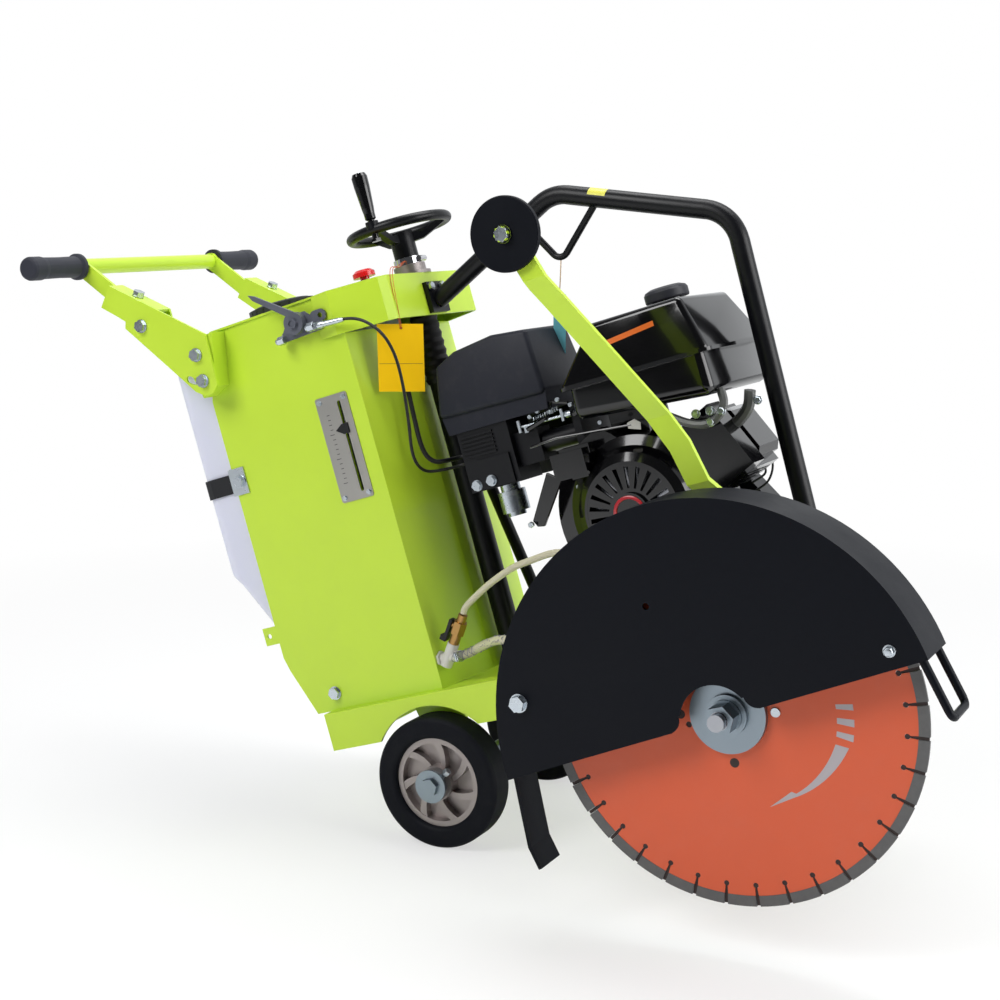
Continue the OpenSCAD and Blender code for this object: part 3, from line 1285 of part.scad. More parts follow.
module zinc_fasteners() color(zinc) chassis() {
    handle_pins();
    bolt_head(-158, 158, -tower_half, -1, 10);
    bolt_head(-158, 158, tower_half, 1, 10);
    for (x = [-1, 1], z = [-1, 1])
        bolt_head(gauge_x + x * 22, gauge_z + z * 74, -tower_half - 1.5, -1, 4);
    // strap brackets on the tower's rear edges
    for (s = [-1, 1]) {
        block([-tower_rear - 6, s > 0 ? tower_half : -tower_half - 2.5, strap_z - 20],
            [-tower_rear + 24, s > 0 ? tower_half + 2.5 : -tower_half, strap_z + 22]);
        bolt_head(-tower_rear + 12, strap_z, s * (tower_half + 2.5), s, 10);
    }
    // throttle cable clamp and ferrule
    block([throttle_x + 22, throttle_y - 14, throttle_z - 19], [throttle_x + 38, throttle_y, throttle_z - 9]);
    button_base();
    bolt_head(guard_pivot[0], guard_pivot[1], -guard_out_y - 0.5, -1, 12);
    // guide arm's hinge bolt
    bar(guide_x, guide_z, guide_pin_d / 2, -guide_y - guide_t / 2 - 1, -deck_half - 20);
    bolt_head(guide_x, guide_z, -guide_y - guide_t / 2 - 1, -1, 14);
    // lifting frame's bolts
    for (y = [-17, 17]) translate([head_front - 3, y, bracket_bolt_z]) rotate([0, 90, 0]) {
        cylinder(r = 4, h = 11);
        translate([0, 0, 11]) cylinder(r = 7, h = 5, $fn = 6);
    }
}

deck_frame();
tower_shell();
tower_head();
gauge_plate();
water_tank();
tank_strap();
handle_brackets();
axle_shafts();
screw_bellows();
screw_housing();
lifting_frame();
crankcase();
cylinder_head();
recoil_housing();
air_cleaner();
carburettor();
carb_metalwork();
fuel_tank();
muffler();
v_belts();
belt_guard();
arbor_bearings();
guard_support();
water_valve();
water_tee();
spray_hose();
feed_hose();
throttle_bracket();
control_cables();
zinc_fasteners();
handlebar();
handle_sleeves();
handle_grips();
handle_bolts();
rear_tyre_right();
rear_rim_right();
rear_tyre_left();
rear_rim_left();
lift_arm();
front_wheel_right();
front_wheel_left();
lift_tube();
handwheel();
lift_screw();
crank_knob();
depth_pointer();
arbor_drive();
blade_core();
blade_segments();
blade_flanges();
crank_drive();
guard_shell();
mud_flap();
guide_arm();
guide_wheel();
throttle_lever();
stop_button();
valve_lever();
tank_cap();
fuel_cap();
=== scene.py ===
import json
import math

import bpy
from mathutils import Matrix, Vector
from mathutils.bvhtree import BVHTree

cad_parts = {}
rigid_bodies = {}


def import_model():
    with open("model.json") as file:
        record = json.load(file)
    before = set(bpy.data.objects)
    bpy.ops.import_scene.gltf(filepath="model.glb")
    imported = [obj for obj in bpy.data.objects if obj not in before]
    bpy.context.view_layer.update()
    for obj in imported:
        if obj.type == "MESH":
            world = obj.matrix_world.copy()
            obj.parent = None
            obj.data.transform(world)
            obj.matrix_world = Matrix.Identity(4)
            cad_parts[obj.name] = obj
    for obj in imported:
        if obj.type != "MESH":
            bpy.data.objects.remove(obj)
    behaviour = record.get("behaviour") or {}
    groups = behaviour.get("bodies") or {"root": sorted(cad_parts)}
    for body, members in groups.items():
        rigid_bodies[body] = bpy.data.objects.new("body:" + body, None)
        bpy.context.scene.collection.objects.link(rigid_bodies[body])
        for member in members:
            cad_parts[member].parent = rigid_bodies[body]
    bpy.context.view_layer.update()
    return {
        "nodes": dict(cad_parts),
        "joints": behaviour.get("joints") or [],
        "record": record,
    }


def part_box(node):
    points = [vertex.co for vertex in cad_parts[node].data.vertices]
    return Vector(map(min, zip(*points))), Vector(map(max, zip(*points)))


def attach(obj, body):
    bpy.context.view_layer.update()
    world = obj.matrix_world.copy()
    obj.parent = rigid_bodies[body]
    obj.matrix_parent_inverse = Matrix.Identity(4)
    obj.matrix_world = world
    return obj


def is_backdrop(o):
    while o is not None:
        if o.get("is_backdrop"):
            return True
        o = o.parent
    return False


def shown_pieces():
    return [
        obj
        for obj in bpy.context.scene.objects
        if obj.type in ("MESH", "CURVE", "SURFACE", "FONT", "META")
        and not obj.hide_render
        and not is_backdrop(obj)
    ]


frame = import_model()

# ---------- image points, in the photograph's 1000 x 1000 frame ----------
W = H = 1000
POINTS = {
    "object_left": (18, None), "object_right": (968, None), "object_top": (None, 173), "object_bottom": (None, 908),
    "blade_flanges": (727.6, 722.2), "guide_wheel": (504.9, 234), "rear_rim_right": (435.3, 783.3),
    "gauge_plate": (340.5, 448.2), "fuel_cap": (667, 294), "recoil_ring": (629.5, 501.5),
    "front_nut": (889.1, 651.2), "frame_band": (597.5, 190), "tag_eyelet": (401.3, 327.5), "tag_string": (396, 296),
    "strip_cord": (561, 279), "tank_stripe": (630, 333), "hub_screw": (451.8, 770.3),
}

# ---------- camera: settled by the points above ----------
LENS, SENSOR = 62.25, 36.0
CAM_AT = Vector((1.1495, -2.2876, 0.9308))
CAM_AZIMUTH, CAM_DOWN, CAM_ROLL = 27.17, 9.32, -0.25

cam = bpy.data.objects.new("photo_camera", bpy.data.cameras.new("photo_camera"))
bpy.context.scene.collection.objects.link(cam)
bpy.context.scene.camera = cam
cam.data.lens, cam.data.sensor_width, cam.data.sensor_fit = LENS, SENSOR, "AUTO"
cam.data.clip_start, cam.data.clip_end = 0.05, 60
az, el = math.radians(CAM_AZIMUTH), math.radians(CAM_DOWN)
look = Vector((-math.sin(az) * math.cos(el), math.cos(az) * math.cos(el), -math.sin(el)))
ACROSS = Vector((math.cos(az), math.sin(az), 0))     # level, across the camera's view
TOWARD = Vector((math.sin(az), -math.cos(az), 0))    # level, towards the camera
roll = Matrix.Rotation(math.radians(CAM_ROLL), 3, "Z")
turn = Matrix((ACROSS, ACROSS.cross(look), -look)).transposed() @ roll
cam.matrix_world = Matrix.Translation(CAM_AT) @ turn.to_4x4()


def ray(x, y):
    """Direction in the world through an image point."""
    long = max(W, H)
    d = Vector((x - W / 2 + cam.data.shift_x * long,
                H / 2 - y + cam.data.shift_y * long, -long * LENS / SENSOR))
    return (turn @ d).normalized()


def project(p):
    """Image point of a point in the world."""
    v = turn.transposed() @ (Vector(p) - CAM_AT)
    k = max(W, H) * LENS / SENSOR / -v.z
    return (W / 2 + v.x * k, H / 2 - v.y * k)


# ---------- the saw's own frame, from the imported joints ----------
JOINTS = {j["name"]: j for j in frame["joints"]}


def joint_at(name):
    return Vector(JOINTS[name]["pos_m"])


UP = -Vector(JOINTS["lift_tube_travel"]["axis"]).normalized()
LEFT = Vector((0, 1, 0))
RIGHT = -LEFT
SKY = Vector((0, 0, 1))
AHEAD = LEFT.cross(UP)
AXLE = (joint_at("rear_wheel_right_spin") + joint_at("rear_wheel_left_spin")) / 2
MM = 0.001


def at(x, y, z):
    """World point of a place in the saw's own frame, in millimetres from the rear axle's middle."""
    return AXLE + (AHEAD * x + LEFT * y + UP * z) * MM


def node_tree(*names):
    """Ray target made of CAD nodes or pieces."""
    verts, faces = [], []
    for n in names:
        me = frame["nodes"][n].data if n in frame["nodes"] else bpy.data.objects[n].data
        base = len(verts)
        verts += [v.co.copy() for v in me.vertices]
        faces += [[base + i for i in p.vertices] for p in me.polygons]
    return BVHTree.FromPolygons(verts, faces)


SEARCH_FROM, SEARCH_STEP, SEARCH_STEPS = 1.5, 0.005, 400


def place(point, *carriers):
    """Where the ray through an image point meets what carries the piece, and the surface's direction.

    A ray that passes beside the carrier stops where it comes nearest to it.
    """
    tree = node_tree(*carriers)
    d = ray(*POINTS[point])
    hit, normal, _, _ = tree.ray_cast(CAM_AT, d)
    if hit is None:
        gap = math.inf
        for i in range(SEARCH_STEPS):
            p, n, _, far = tree.find_nearest(CAM_AT + d * (SEARCH_FROM + i * SEARCH_STEP))
            if far < gap:
                near, normal, gap = p, n, far
        hit = CAM_AT + d * (near - CAM_AT).dot(d)
    if normal.dot(d) > 0:
        normal = -normal
    return hit, normal


# ---------- materials ----------
def linear(c):
    """sRGB 0-255 to linear."""
    return [((v / 255 + 0.055) / 1.055) ** 2.4 if v > 10 else v / 255 / 12.92 for v in c]


class Nodes:
    """A material and short calls for its nodes."""

    def __init__(self, name):
        self.mat = bpy.data.materials.new(name)
        self.mat.use_nodes = True
        self.tree = self.mat.node_tree
        self.bsdf = self.tree.nodes["Principled BSDF"]

    def add(self, kind, props=None, **inputs):
        n = self.tree.nodes.new("ShaderNode" + kind)
        for k, v in (props or {}).items():
            setattr(n, k, v)
        for k, v in inputs.items():
            self.put(n, k.replace("_", " "), v)
        return n

    def put(self, node, socket, value):
        s = node.inputs[int(socket)] if socket.isdigit() else node.inputs[socket]
        if isinstance(value, bpy.types.NodeSocket):
            self.tree.links.new(value, s)
        else:
            s.default_value = value

    def blend(self, amount, low, high):
        """Colour between two others."""
        return self.add("Mix", {"data_type": "RGBA"}, **{"0": amount, "6": low, "7": high}).outputs[2]

    def remap(self, value, low, high, to_low, to_high):
        """Value carried over from one range to another."""
        limits = {"1": low, "2": high, "3": to_low, "4": to_high}
        return self.add("MapRange", Value=value, **limits).outputs[0]

    def times(self, a, b):
        return self.add("Math", {"operation": "MULTIPLY"}, **{"0": a, "1": b}).outputs[0]


WEAR_REACH = 0.0012
DUST = [0.42, 0.40, 0.37, 1]


def finish_of(name, colour, rough, metal=0.0, coat=0.0, vary=0.05, rough_vary=0.06, grain=500.0, bump=0.1,
              depth=0.0002, stretch=(1, 1, 1), tint=None, wear=0.0, dust=0.0, spec=0.5, sheen=0.0, sub=0.0,
              through=0.0, coarse=9.0):
    """A procedural finish: drift of colour and roughness, fine grain, and worn or dusty places."""
    m = Nodes(name)
    b, rgb = m.bsdf, linear(colour)
    place_of = m.add("TexCoord").outputs["Object"]
    drift = m.add("TexNoise", Vector=place_of, Scale=coarse, Detail=5.0, Roughness=0.6).outputs["Fac"]
    fine = m.add("Mapping", Vector=place_of, Scale=stretch).outputs["Vector"]
    grains = m.add("TexNoise", Vector=fine, Scale=grain, Detail=3.0, Roughness=0.65).outputs["Fac"]
    low = [c * (1 - vary) for c in rgb] + [1]
    high = [min(1, c * (1 + vary)) for c in (linear(tint) if tint else rgb)] + [1]
    base = m.blend(drift, low, high)
    if wear or dust:
        soft = m.add("Bevel", {"samples": 4}, Radius=WEAR_REACH).outputs["Normal"]
        flat = m.add("NewGeometry").outputs["Normal"]
        same = m.add("VectorMath", {"operation": "DOT_PRODUCT"}, **{"0": soft, "1": flat}).outputs["Value"]
        edges = m.remap(same, 0.985, 0.9, 0.0, 1.0)
        patchy = m.add("TexNoise", Vector=place_of, Scale=60.0, Detail=4.0).outputs["Fac"]
        gate = m.remap(patchy, 0.5, 0.66, 0.0, 1.0)
        worn = m.times(m.times(edges, gate), wear)
        pale = [c * 0.5 + 0.22 for c in rgb] + [1]
        base = m.blend(worn, base, pale)
    if dust:
        specks = m.add("TexNoise", Vector=place_of, Scale=34.0, Detail=8.0, Roughness=0.75).outputs["Fac"]
        base = m.blend(m.remap(specks, 0.5, 0.75, 0.0, dust), base, DUST)
    m.put(b, "Base Color", base)
    m.put(b, "Roughness", m.remap(drift, 0.3, 0.7, max(0.02, rough - rough_vary), min(1, rough + rough_vary)))
    m.put(b, "Normal", m.add("Bump", Strength=bump, Distance=depth, Height=grains).outputs["Normal"])
    for socket, value in (("Metallic", metal), ("Coat Weight", coat), ("Coat Roughness", 0.06), ("IOR", 1.5),
                          ("Specular IOR Level", spec), ("Sheen Weight", sheen), ("Subsurface Weight", sub),
                          ("Transmission Weight", through)):
        b.inputs[socket].default_value = value
    if sub:
        b.inputs["Subsurface Radius"].default_value = (0.02, 0.02, 0.025)
        b.inputs["Subsurface Scale"].default_value = 1.0
    return m


LIME = (194, 226, 56)
LOOKS = {
    "lime_paint": dict(colour=LIME, rough=0.34, vary=0.05, grain=420, bump=0.12, wear=0.3, coat=0.12),
    "black_paint": dict(colour=(7, 8, 13), rough=0.36, vary=0.2, grain=600, bump=0.16, wear=0.12,
                        dust=0.005, spec=0.3),
    "guard_paint": dict(colour=(6, 9, 18), rough=0.46, vary=0.15, grain=700, bump=0.25, wear=0.1,
                        spec=0.14),
    "black_gloss": dict(colour=(6, 6, 8), rough=0.14, vary=0.2, grain=160, bump=0.06, coat=0.5,
                        spec=0.35),
    "engine_plastic": dict(colour=(30, 32, 42), rough=0.5, vary=0.1, grain=900, bump=0.3, dust=0.02,
                           spec=0.25),
    "box_plastic": dict(colour=(12, 13, 18), rough=0.4, vary=0.15, grain=900, bump=0.3, spec=0.28),
    "tank_plastic": dict(colour=(214, 216, 232), rough=0.38, vary=0.03, grain=260, bump=0.1, sub=0.35),
    "black_plastic": dict(colour=(13, 14, 17), rough=0.42, vary=0.2, grain=700, bump=0.2, spec=0.4),
    "cap_plastic": dict(colour=(44, 45, 52), rough=0.48, vary=0.1, grain=800, bump=0.25, spec=0.35),
    "grip_rubber": dict(colour=(42, 44, 54), rough=0.62, vary=0.1, grain=800, bump=0.35, sheen=0.05,
                        spec=0.3),
    "tyre_rubber": dict(colour=(8, 11, 19), rough=0.6, vary=0.15, grain=600, bump=0.4, dust=0.01,
                        spec=0.15),
    "bellows_rubber": dict(colour=(10, 10, 12), rough=0.5, vary=0.2, grain=700, bump=0.25, spec=0.25),
    "cast_alloy": dict(colour=(160, 152, 150), rough=0.44, metal=0.8, vary=0.1, grain=350, bump=0.5),
    "grey_cast": dict(colour=(104, 107, 118), rough=0.42, metal=0.5, vary=0.12, grain=500, bump=0.3),
    "bracket_grey": dict(colour=(96, 97, 96), rough=0.4, metal=0.3, vary=0.12, grain=400, bump=0.2),
    "zinc_plate": dict(colour=(184, 194, 206), rough=0.28, metal=1.0, vary=0.06, tint=(198, 204, 206),
                       grain=300, bump=0.12, coarse=45.0),
    "hub_zinc": dict(colour=(138, 149, 158), rough=0.34, metal=1.0, vary=0.08, grain=400, bump=0.15),
    "stainless": dict(colour=(172, 170, 165), rough=0.36, metal=0.9, vary=0.04, grain=120, bump=0.35,
                      stretch=(0.4, 1, 9), rough_vary=0.05),
    "turned_steel": dict(colour=(160, 162, 168), rough=0.26, metal=1.0, vary=0.06, grain=500, bump=0.2),
    "chrome_plate": dict(colour=(214, 214, 218), rough=0.12, metal=1.0, vary=0.03, grain=200, bump=0.05),
    "blade_paint": dict(colour=(216, 90, 50), rough=0.38, vary=0.05, grain=500, bump=0.12, dust=0.02),
    "segment_grit": dict(colour=(104, 104, 104), rough=0.6, metal=0.5, vary=0.25, grain=1400, bump=0.9,
                         depth=0.0004, coarse=120.0),
    "brass": dict(colour=(176, 138, 84), rough=0.34, metal=1.0, vary=0.1, grain=300, bump=0.12),
    "white_plastic": dict(colour=(206, 204, 198), rough=0.34, vary=0.03, grain=400, bump=0.1, sub=0.1),
    "clear_hose": dict(colour=(212, 206, 178), rough=0.2, vary=0.08, grain=260, bump=0.25, sub=0.3,
                       through=0.15),
    "braid": dict(colour=(120, 122, 132), rough=0.6, vary=0.1, grain=900, bump=0.2),
    "red_plastic": dict(colour=(214, 22, 26), rough=0.25, vary=0.06, grain=400, bump=0.08, coat=0.4),
    "belt_rubber": dict(colour=(18, 18, 20), rough=0.7, vary=0.2, grain=600, bump=0.5, spec=0.3),
    "strap_web": dict(colour=(20, 21, 26), rough=0.75, vary=0.15, grain=900, bump=0.8, stretch=(1, 3, 1)),
    "card": dict(colour=(244, 194, 0), rough=0.7, spec=0.2, vary=0.03, grain=300, bump=0.05),
    "print_ink": dict(colour=(120, 88, 10), rough=0.6, vary=0.1),
    "strip": dict(colour=(60, 140, 158), rough=0.55, vary=0.25, grain=300, bump=0.1, tint=(120, 200, 214),
                  coarse=14),
    "string_red": dict(colour=(196, 84, 30), rough=0.8, vary=0.1, grain=2000, bump=0.4),
    "string_tan": dict(colour=(206, 176, 140), rough=0.8, vary=0.1, grain=2000, bump=0.4),
    "slot_shade": dict(colour=(52, 40, 38), rough=0.7, vary=0.2),
    "grey_ink": dict(colour=(176, 170, 174), rough=0.4, vary=0.04),
    "dark_ink": dict(colour=(62, 62, 66), rough=0.5, vary=0.05),
    "yellow_film": dict(colour=(222, 218, 84), rough=0.4, vary=0.04),
    "orange_film": dict(colour=(236, 112, 30), rough=0.35, vary=0.04),
    "ring_red": dict(colour=(186, 36, 48), rough=0.28, vary=0.06, coat=0.4),
}
FINISH = {name: finish_of(name, **values) for name, values in LOOKS.items()}
NODE_FINISH = {
    "guard_shell": "guard_paint", "guide_wheel": "guard_paint", "muffler": "black_paint",
    "crank_knob": "black_gloss", "carburettor": "box_plastic", "control_cables": "black_plastic",
    "tank_cap": "cap_plastic", "fuel_cap": "cap_plastic", "throttle_bracket": "grey_cast",
    "throttle_lever": "grey_cast", "blade_flanges": "hub_zinc", "axle_shafts": "hub_zinc",
}

SLOT_OF = {s["node"]: s["material_slot"] for s in frame["record"]["subparts"]}
for node, obj in frame["nodes"].items():
    obj.data.materials.clear()
    obj.data.materials.append(FINISH[NODE_FINISH.get(node, SLOT_OF[node])].mat)


WELD_GAP, CRISP_ANGLE = 2e-5, 35.0


def soften(node, levels=0):
    """Smooth shading for a node that comes as triangles: its points are welded, only sharp edges split."""
    o = frame["nodes"][node]
    for p in o.data.polygons:
        p.use_smooth = True
    if o.data.has_custom_normals:
        with bpy.context.temp_override(object=o, active_object=o):
            bpy.ops.mesh.customdata_custom_splitnormals_clear()
    o.modifiers.new("weld", "WELD").merge_threshold = WELD_GAP
    if levels:
        o.modifiers.new("round", "SUBSURF").render_levels = levels
        o.modifiers["round"].levels = levels
    else:
        o.modifiers.new("crisp", "EDGE_SPLIT").split_angle = math.radians(CRISP_ANGLE)


for n in ("feed_hose", "spray_hose", "control_cables"):
    soften(n, levels=1)
for n in ("air_cleaner", "fuel_tank"):
    soften(n)


# ---------- forms that pieces are made from ----------
SHARP_ANGLE = 40.0


def with_sides(line):
    """Each point of a line with two directions across it, which turn no more than the line does."""
    side = None
    for i, p in enumerate(line):
        t = (line[min(i + 1, len(line) - 1)] - line[max(i - 1, 0)]).normalized()
        side = (side - t * side.dot(t)).normalized() if side else t.orthogonal().normalized()
        yield p, side, t.cross(side)


class Shape:
    """Points and faces gathered from several forms, then made into one piece."""

    def __init__(self):
        self.verts, self.faces = [], []

    def add(self, verts, faces):
        base = len(self.verts)
        self.verts += [Vector(v) for v in verts]
        self.faces += [[base + i for i in f] for f in faces]
        return self

    def lathe(self, origin, axis, profile, sides, start=0.0):
        """Turns (radius, height) pairs about an axis; ends on the axis close the form."""
        axis = Vector(axis).normalized()
        u = axis.orthogonal().normalized()
        v = axis.cross(u)
        rings, verts = [], []
        for r, h in profile:
            ring = []
            for k in range(sides if r > 1e-9 else 1):
                a = math.radians(start) + 2 * math.pi * k / sides
                ring.append(len(verts))
                verts.append(Vector(origin) + axis * h + (u * math.cos(a) + v * math.sin(a)) * r)
            rings.append(ring)
        faces = []
        for a, b in zip(rings, rings[1:]):
            for k in range(sides):
                i, j = k, (k + 1) % sides
                quad = [a[i % len(a)], a[j % len(a)], b[j % len(b)], b[i % len(b)]]
                quad = [q for n, q in enumerate(quad) if q not in quad[:n]]
                if len(quad) > 2:
                    faces.append(quad)
        for ring, flip in ((rings[0], True), (rings[-1], False)):
            if len(ring) > 1:
                faces.append(ring[::-1] if flip else ring)
        return self.add(verts, faces)

    def sweep(self, points, r, sides):
        """A round section carried along points."""
        verts, faces = [], []
        for p, side, up in with_sides(points):
            for k in range(sides):
                a = 2 * math.pi * k / sides
                verts.append(p + (side * math.cos(a) + up * math.sin(a)) * r)
        n = len(points)
        for i in range(n - 1):
            for k in range(sides):
                j = (k + 1) % sides
                faces.append([i * sides + k, i * sides + j, (i + 1) * sides + j, (i + 1) * sides + k])
        faces.append(list(range(sides))[::-1])
        faces.append([(n - 1) * sides + k for k in range(sides)])
        return self.add(verts, faces)

    def plate(self, origin, u, v, outline, thick):
        """A flat outline in the plane of u and v, thickened along u x v."""
        u, v = Vector(u).normalized(), Vector(v).normalized()
        w = u.cross(v)
        n = len(outline)
        low = [Vector(origin) + u * a + v * b for a, b in outline]
        high = [p + w * thick for p in low]
        faces = [list(range(n))[::-1], [n + i for i in range(n)]]
        faces += [[i, (i + 1) % n, n + (i + 1) % n, n + i] for i in range(n)]
        return self.add(low + high, faces)

    def build(self, name, finish, body, slot, bevel=0.0):
        """Makes the piece, gives it its finish and ties it to its body; its slot argument is not used."""
        me = bpy.data.meshes.new(name)
        me.from_pydata(self.verts, [], self.faces)
        me.validate()
        me.materials.append(FINISH[finish].mat)
        for p in me.polygons:
            p.use_smooth = True
        me.set_sharp_from_angle(angle=math.radians(SHARP_ANGLE))
        o = bpy.data.objects.new(name, me)
        bpy.context.scene.collection.objects.link(o)
        if bevel:
            mod = o.modifiers.new("bevel", "BEVEL")
            mod.width, mod.segments, mod.limit_method = bevel, 2, "ANGLE"
            mod.harden_normals = True
        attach(o, body)
        return o


def smooth_path(points, steps):
    """Points along a Catmull-Rom curve through the given ones, so many steps from each to the next."""
    p = [Vector(q) for q in points]
    p = [p[0] * 2 - p[1]] + p + [p[-1] * 2 - p[-2]]
    out = []
    for i in range(1, len(p) - 2):
        a, b, c, d = p[i - 1:i + 3]
        for j in range(steps):
            t = j / steps
            out.append(0.5 * (2 * b + (c - a) * t + (2 * a - 5 * b + 4 * c - d) * t * t
                              + (3 * b - a - 3 * c + d) * t ** 3))
    return out + [p[-2]]


def hexagon(shape, centre, axis, flats, h, lean=0.0, chamfer=0.0008):
    """Hexagonal head standing on a point, its outer edge chamfered."""
    r = flats / 2 / math.cos(math.radians(30))
    return shape.lathe(centre, axis, [(r, 0), (r, h - chamfer), (r - chamfer, h), (0, h)], 6, lean)


def disc(shape, centre, axis, r, h, sides=36, edge=0.0004):
    """Flat round plate standing on a point."""
    return shape.lathe(centre, axis, [(r, 0), (r, h - edge), (r - edge, h), (0, h)], sides)


def oblong(x0, x1, z0, z1):
    """Corners of a rectangle."""
    return [(x0, z0), (x1, z0), (x1, z1), (x0, z1)]


def polar(r, a):
    """Distance ahead and up of a point at radius r and angle a."""
    return r * math.cos(math.radians(a)), r * math.sin(math.radians(a))


def radial(r, a):
    """Step of length r in the world at angle a, in the plane of the blade."""
    ahead, up = polar(r, a)
    return AHEAD * ahead + UP * up


def route(points, steps):
    """Smooth line through points given in the saw's own frame."""
    return smooth_path([at(*p) for p in points], steps)


def length_of(line):
    return sum((b - a).length for a, b in zip(line, line[1:]))


# ---------- pieces ----------
PRINT_T = 0.0001                                     # thickness of a printed mark

# gauge: ticks beside the slot, every fifth one longer
GAUGE_TICKS, TICK_STEP, SLOT_EDGE = 15, 0.0075, 0.010
TICK_LONG, TICK_SHORT, TICK_HALF, TICK_T = 0.008, 0.005, 0.0005, 0.00015
lo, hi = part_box("gauge_plate")
ticks = Shape()
for i in range(GAUGE_TICKS):
    tick_at = (lo + hi) / 2 + UP * (TICK_STEP * (i - GAUGE_TICKS // 2)) - AHEAD * SLOT_EDGE
    tick_at.y = lo.y
    tick_l = TICK_SHORT if i % 5 else TICK_LONG
    ticks.plate(tick_at, AHEAD, UP, oblong(-tick_l, 0, -TICK_HALF, TICK_HALF), TICK_T)
ticks.build("gauge_ticks", "dark_ink", "chassis", "stainless")

# recoil starter's red ring
RING_OUT, RING_IN, RING_EDGE = 0.0245, 0.0195, 0.001
RING_H, RING_SINK = 0.002, -0.001
ring_c = joint_at("engine_turn")
ring_c.y = place("recoil_ring", "recoil_housing")[0].y
ring = Shape().lathe(ring_c, RIGHT, [
    (RING_OUT, RING_SINK), (RING_OUT, 0.0012), (RING_OUT - RING_EDGE, RING_H), (RING_IN + RING_EDGE, RING_H),
    (RING_IN, 0.001), (RING_IN, RING_SINK)], 48)
ring.build("recoil_ring", "ring_red", "chassis", "red_plastic")

# nut on its washer at the guard's front
NUT_FLATS, NUT_H, NUT_LEAN = 0.0108, 0.0048, 10
NUT_WASHER_R, NUT_WASHER_T = 0.0078, 0.0012
STUD_R, STUD_H = 0.0034, 0.0022
nut_at = place("front_nut", "guard_shell")[0]
nut = disc(Shape(), nut_at, RIGHT, NUT_WASHER_R, NUT_WASHER_T)
hexagon(nut, nut_at + RIGHT * NUT_WASHER_T, RIGHT, NUT_FLATS, NUT_H, NUT_LEAN)
nut.lathe(nut_at + RIGHT * (NUT_WASHER_T + NUT_H), RIGHT, [(STUD_R, 0), (STUD_R, 0.0018), (0.0, STUD_H)], 20)
nut.build("front_nut", "zinc_plate", "blade_guard", "zinc_plate")

# head and washer of the guide wheel's bolt
BOLT_FACE, BOLT_FLATS, BOLT_H = 0.0055, 0.0181, 0.0072
BOLT_WASHER_R, BOLT_WASHER_T, BOLT_LAP = 0.01175, 0.0018, 0.0002
wheel_c = joint_at("guide_wheel_spin")
washer_at = wheel_c + RIGHT * (BOLT_FACE - BOLT_LAP)
washer = disc(Shape(), washer_at, RIGHT, BOLT_WASHER_R, BOLT_WASHER_T + BOLT_LAP)
washer.build("guide_washer", "guard_paint", "guide_arm", "black_paint")
head = hexagon(Shape(), wheel_c + RIGHT * (BOLT_FACE + BOLT_WASHER_T), RIGHT, BOLT_FLATS, BOLT_H)
head.build("guide_bolt", "zinc_plate", "guide_arm", "zinc_plate")

# yellow band on the lifting frame, lying on the tube from -BAND_HALF to BAND_HALF degrees about its top
FRAME_R, FRAME_SLOPE = 0.0142, -22.8
BAND_L, BAND_HALF, BAND_STEPS = 0.028, 38, 12
BAND_SINK, BAND_T = 0.0006, 0.00015
hit, top = place("frame_band", "lifting_frame")
top.normalize()
tube_dir = radial(1, FRAME_SLOPE)
sideways = tube_dir.cross(top).normalized()
core = hit - top * FRAME_R
band_v, band_f = [], []
for r in (FRAME_R - BAND_SINK, FRAME_R + BAND_T):
    for e in (-0.5, 0.5):
        for k in range(BAND_STEPS + 1):
            a = math.radians(-BAND_HALF + 2 * BAND_HALF * k / BAND_STEPS)
            band_v.append(core + tube_dir * BAND_L * e + (top * math.cos(a) + sideways * math.sin(a)) * r)
row = BAND_STEPS + 1
for k in range(BAND_STEPS):
    for a, b in ((2 * row, 3 * row), (row, 0), (0, 2 * row), (3 * row, row)):
        band_f.append([a + k, a + k + 1, b + k + 1, b + k])
band_f.append([0, 2 * row, 3 * row, row])
band_f.append([row - 1, 2 * row - 1, 4 * row - 1, 3 * row - 1])
Shape().add(band_v, band_f).build("frame_band", "yellow_film", "chassis", "black_paint")

# plain card on its string, which goes from the clamping collar over the head's edge
CARD_W, CARD_H, CARD_T = 0.069, 0.101, 0.0006
CARD_EYE, CARD_LEFT, CARD_LEAN, CARD_STAND = 0.006, 0.52, -0.02, 0.010
RULE = (-0.034, 0.031, -0.0535, -0.0528)
EYELET_R, EYELET_H = 0.0022, 0.0009
STRING_R, STRING_GAP, STRING_STAND = 0.00055, 0.0008, 0.0018
STRANDS_APART, EDGE_GAP = 0.0036, 0.0015
wall_at = place("tag_string", "tower_head")[0]
head_top = max(v.co.dot(UP) for v in frame["nodes"]["tower_head"].data.vertices)
edge_at = wall_at + UP * (head_top - wall_at.dot(UP))
eye_at = place("tag_eyelet", "tower_head")[0] + TOWARD * CARD_STAND
card_up = SKY + ACROSS * CARD_LEAN
card_face = oblong(-CARD_W * CARD_LEFT, CARD_W * (1 - CARD_LEFT), CARD_EYE - CARD_H, CARD_EYE)
Shape().plate(eye_at, ACROSS, card_up, card_face, CARD_T).build("tag_card", "card", "chassis", "red_plastic")
rule = Shape().plate(eye_at + TOWARD * (CARD_T - PRINT_T), ACROSS, card_up, oblong(*RULE), 2 * PRINT_T)
rule.build("tag_rule", "print_ink", "chassis", "red_plastic")
eyelet = disc(Shape(), eye_at, TOWARD, EYELET_R, EYELET_H, 20)
eyelet.build("tag_eyelet", "black_plastic", "chassis", "black_plastic")
collar = at(86, -24, 772)
over = edge_at + TOWARD * EDGE_GAP + SKY * EDGE_GAP
eye_front = eye_at + TOWARD * STRING_STAND
